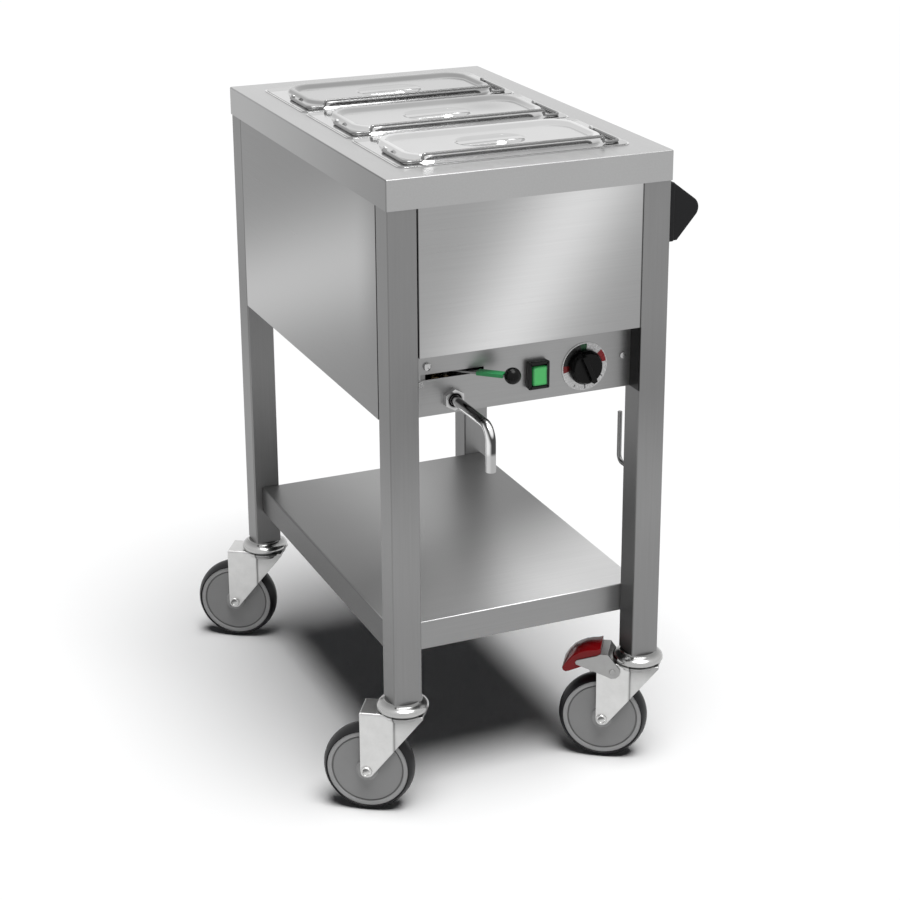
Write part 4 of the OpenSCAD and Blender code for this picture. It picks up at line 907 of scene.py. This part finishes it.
first = {"ring": makeRace(), "fork": makeFork(), "hub": makeHub(), "tyre": makeTyre(), "axle": makeAxle()}
moving = {  # name, body, slot, paint and smoothing angle
    "fork": ("fork", "swivel_", "zinc", "zinc", 32),
    "axle": ("axleBolt", "swivel_", "zinc", "axle", 32),
    "hub": ("wheelCentre", "wheel_", "grey_plastic", "wheel", 32),
    "tyre": ("tyre", "wheel_", "tyre", "tyre", 60),
}
rings = []
for key in corners:
    here = atCaster(key)
    ring = copyOf(first["ring"], "headRing" + key.title())
    ring.data.transform(here)
    rings.append(ring)
    for part, (name, body, slot, paint, smooth) in moving.items():
        finished(copyOf(first[part], name + key.title()), body + key, paints[paint],
                 [part + "_" + key], here, smooth)
for obj in first.values():
    bpy.data.objects.remove(obj)
finished(joined("headRings", *rings), "chassis", paints["ring"], ["caster_heads"], None, 50)
print("casters made")

# foot brake: two zinc side plates with a web, a shoe and a riveted pin between them, and a glossy red pedal
brake = {"pivot": (-33, 0, 138.5), "inner": 22, "sheet": 2, "webBack": -39.5, "webFront": -50,
         "webTop": 164.5, "shoeBack": -62, "shoeFront": -66, "shoeTop": 142, "shoeHalf": 12}


def makeBrake():
    outline = [(-22.6, 142.4), (-39.5, 164.5), (-50, 164.5), (-55, 161.5), (-83.2, 152.8), (-85.4, 149.6),
               (-84, 146.4), (-40, 130), (-34.5, 127.6), (-28, 128.8), (-23.4, 133), (-22, 138)]
    parts = []
    for side in (-1, 1):
        low, high = sorted([side * brake["inner"], side * (brake["inner"] + brake["sheet"])])
        part = plate("brakePlate", outline, low, high)
        roundEdges(part, lambda at, way: abs(way.y) < 0.5 and abs(at.y) > brake["inner"] + 1.9, 0.6, 2)
        parts.append(part)
    inner, shoeHalf = brake["inner"], brake["shoeHalf"]
    for part in (
            block("brakeWeb", (brake["webFront"], -inner, brake["webTop"] - brake["sheet"]),
                  (brake["webBack"], inner, brake["webTop"])),
            block("brakeShoeTop", (brake["shoeFront"], -inner, brake["shoeTop"] - 4),
                  (brake["shoeBack"], inner, brake["shoeTop"])),
            block("brakeShoe", (brake["shoeFront"], -shoeHalf, brake["shoeTop"] - 11),
                  (brake["shoeBack"], shoeHalf, brake["shoeTop"]))):
        roundEdges(part, lambda at, way: abs(way.y) > 0.9, 0.6, 2)
        parts.append(part)
    pin = turned("brakePin", mirrored([(0, 25.5), (3.4, 25.5), (4.3, 24.9), (4.5, 24), (3, 24)]),
                 brake["pivot"], "Y", 32)
    return joined("brakeLever", *parts, pin)


def makePedal():
    outline = [(-50, 158), (-50, 172), (-56, 171.6), (-64, 170.7), (-72, 169), (-81.5, 164.8), (-90, 159.4),
               (-97, 151.5), (-102.6, 142.4), (-103.9, 138.6), (-102.6, 134.6), (-99, 133.1), (-94, 134.2),
               (-80, 140.5), (-68, 146.6), (-57.5, 152)]
    half = brake["inner"] - 0.4
    obj = plate("pedal", outline, -half, half)
    for y in (-0.7, -0.35, 0, 0.35, 0.7):
        pickAll(obj)
        bpy.ops.mesh.bisect(plane_co=(0, y * half * mm, 0), plane_no=(0, 1, 0))
    pick(obj, "VERT", lambda at, way: at.x < -51 and at.z > 139 and way.z > 0.2)
    move(obj, lambda p: (p.x, p.y, p.z - 1.6 * (p.y / half) ** 2))
    roundEdges(obj, lambda at, way: abs(way.y) < 0.5 and abs(at.y) > half - 0.1, 1.6, 3)
    return obj


firstLever, firstPedal = makeBrake(), makePedal()
for key in ("fr", "rr"):
    finished(copyOf(firstLever, "brakeLever" + key.title()), "brake_" + key, paints["lever"],
             ["brake_lever_" + key], atCaster(key))
    finished(copyOf(firstPedal, "pedal" + key.title()), "brake_" + key, paints["red"],
             ["brake_pedal_" + key], atCaster(key))
bpy.data.objects.remove(firstLever)
bpy.data.objects.remove(firstPedal)
print("brakes made")

# floor, light and camera
studio = {"floorWide": 30, "floorDrop": 0.0005, "floor": 0.95, "ambient": 0.025,
          "ambientTint": (0.88, 0.92, 1), "key": 1.08, "keyAngle": 38, "keyTilt": (13, 2, 0)}
view = {"from": (-1.0935, -2.598, 1.4893), "turn": (90 - 19.355, 0, -24.076), "lens": 83.5, "sensor": 36,
        "shift": (-0.0355, -0.08)}


def makeFloor():
    tidyPicks()
    bpy.ops.mesh.primitive_plane_add(size=studio["floorWide"], location=(0, 0, -studio["floorDrop"]))
    floor = named("floor")
    paint = Paint("paleFloor")
    shade = paint.node("BsdfDiffuse", None, {"Color": (*grey(studio["floor"]), 1)})
    paint.node("OutputMaterial", None, {0: shade})
    floor.data.materials.append(paint.material)


def makeLight():  # a soft sun, a faint room, and white where the camera or a mirroring surface looks out
    world = bpy.data.worlds.new("studio")
    bpy.context.scene.world = world
    sky = Tree(world)
    seen = sky.node("LightPath", out="Is Camera Ray")
    for kind in ("Is Glossy Ray", "Is Transmission Ray"):
        seen = seen.sum("MAXIMUM", seen, sky.node("LightPath", out=kind))
    soft = sky.node("Background", None, {"Color": (*studio["ambientTint"], 1), "Strength": studio["ambient"]})
    white = sky.node("Background", None, {"Color": (1, 1, 1, 1)})
    sky.node("OutputWorld", None, {0: sky.node("MixShader", None, {0: seen, 1: soft, 2: white})})
    bpy.ops.object.light_add(type="SUN", location=(0, 0, 3))
    lamp = named("keyLight")
    lamp.data.energy = math.pi * studio["key"]
    lamp.data.angle = math.radians(studio["keyAngle"])
    lamp.rotation_euler = [math.radians(turn) for turn in studio["keyTilt"]]


def makeCamera():
    bpy.ops.object.camera_add(location=middle * mm + Vector(view["from"]),
                              rotation=[math.radians(turn) for turn in view["turn"]])
    camera = named("camera")
    camera.data.lens, camera.data.sensor_width = view["lens"], view["sensor"]
    camera.data.shift_x, camera.data.shift_y = view["shift"]
    bpy.context.scene.camera = camera
    bpy.context.scene.view_settings.view_transform = "Standard"


makeFloor()
makeLight()
makeCamera()
print("studio made")
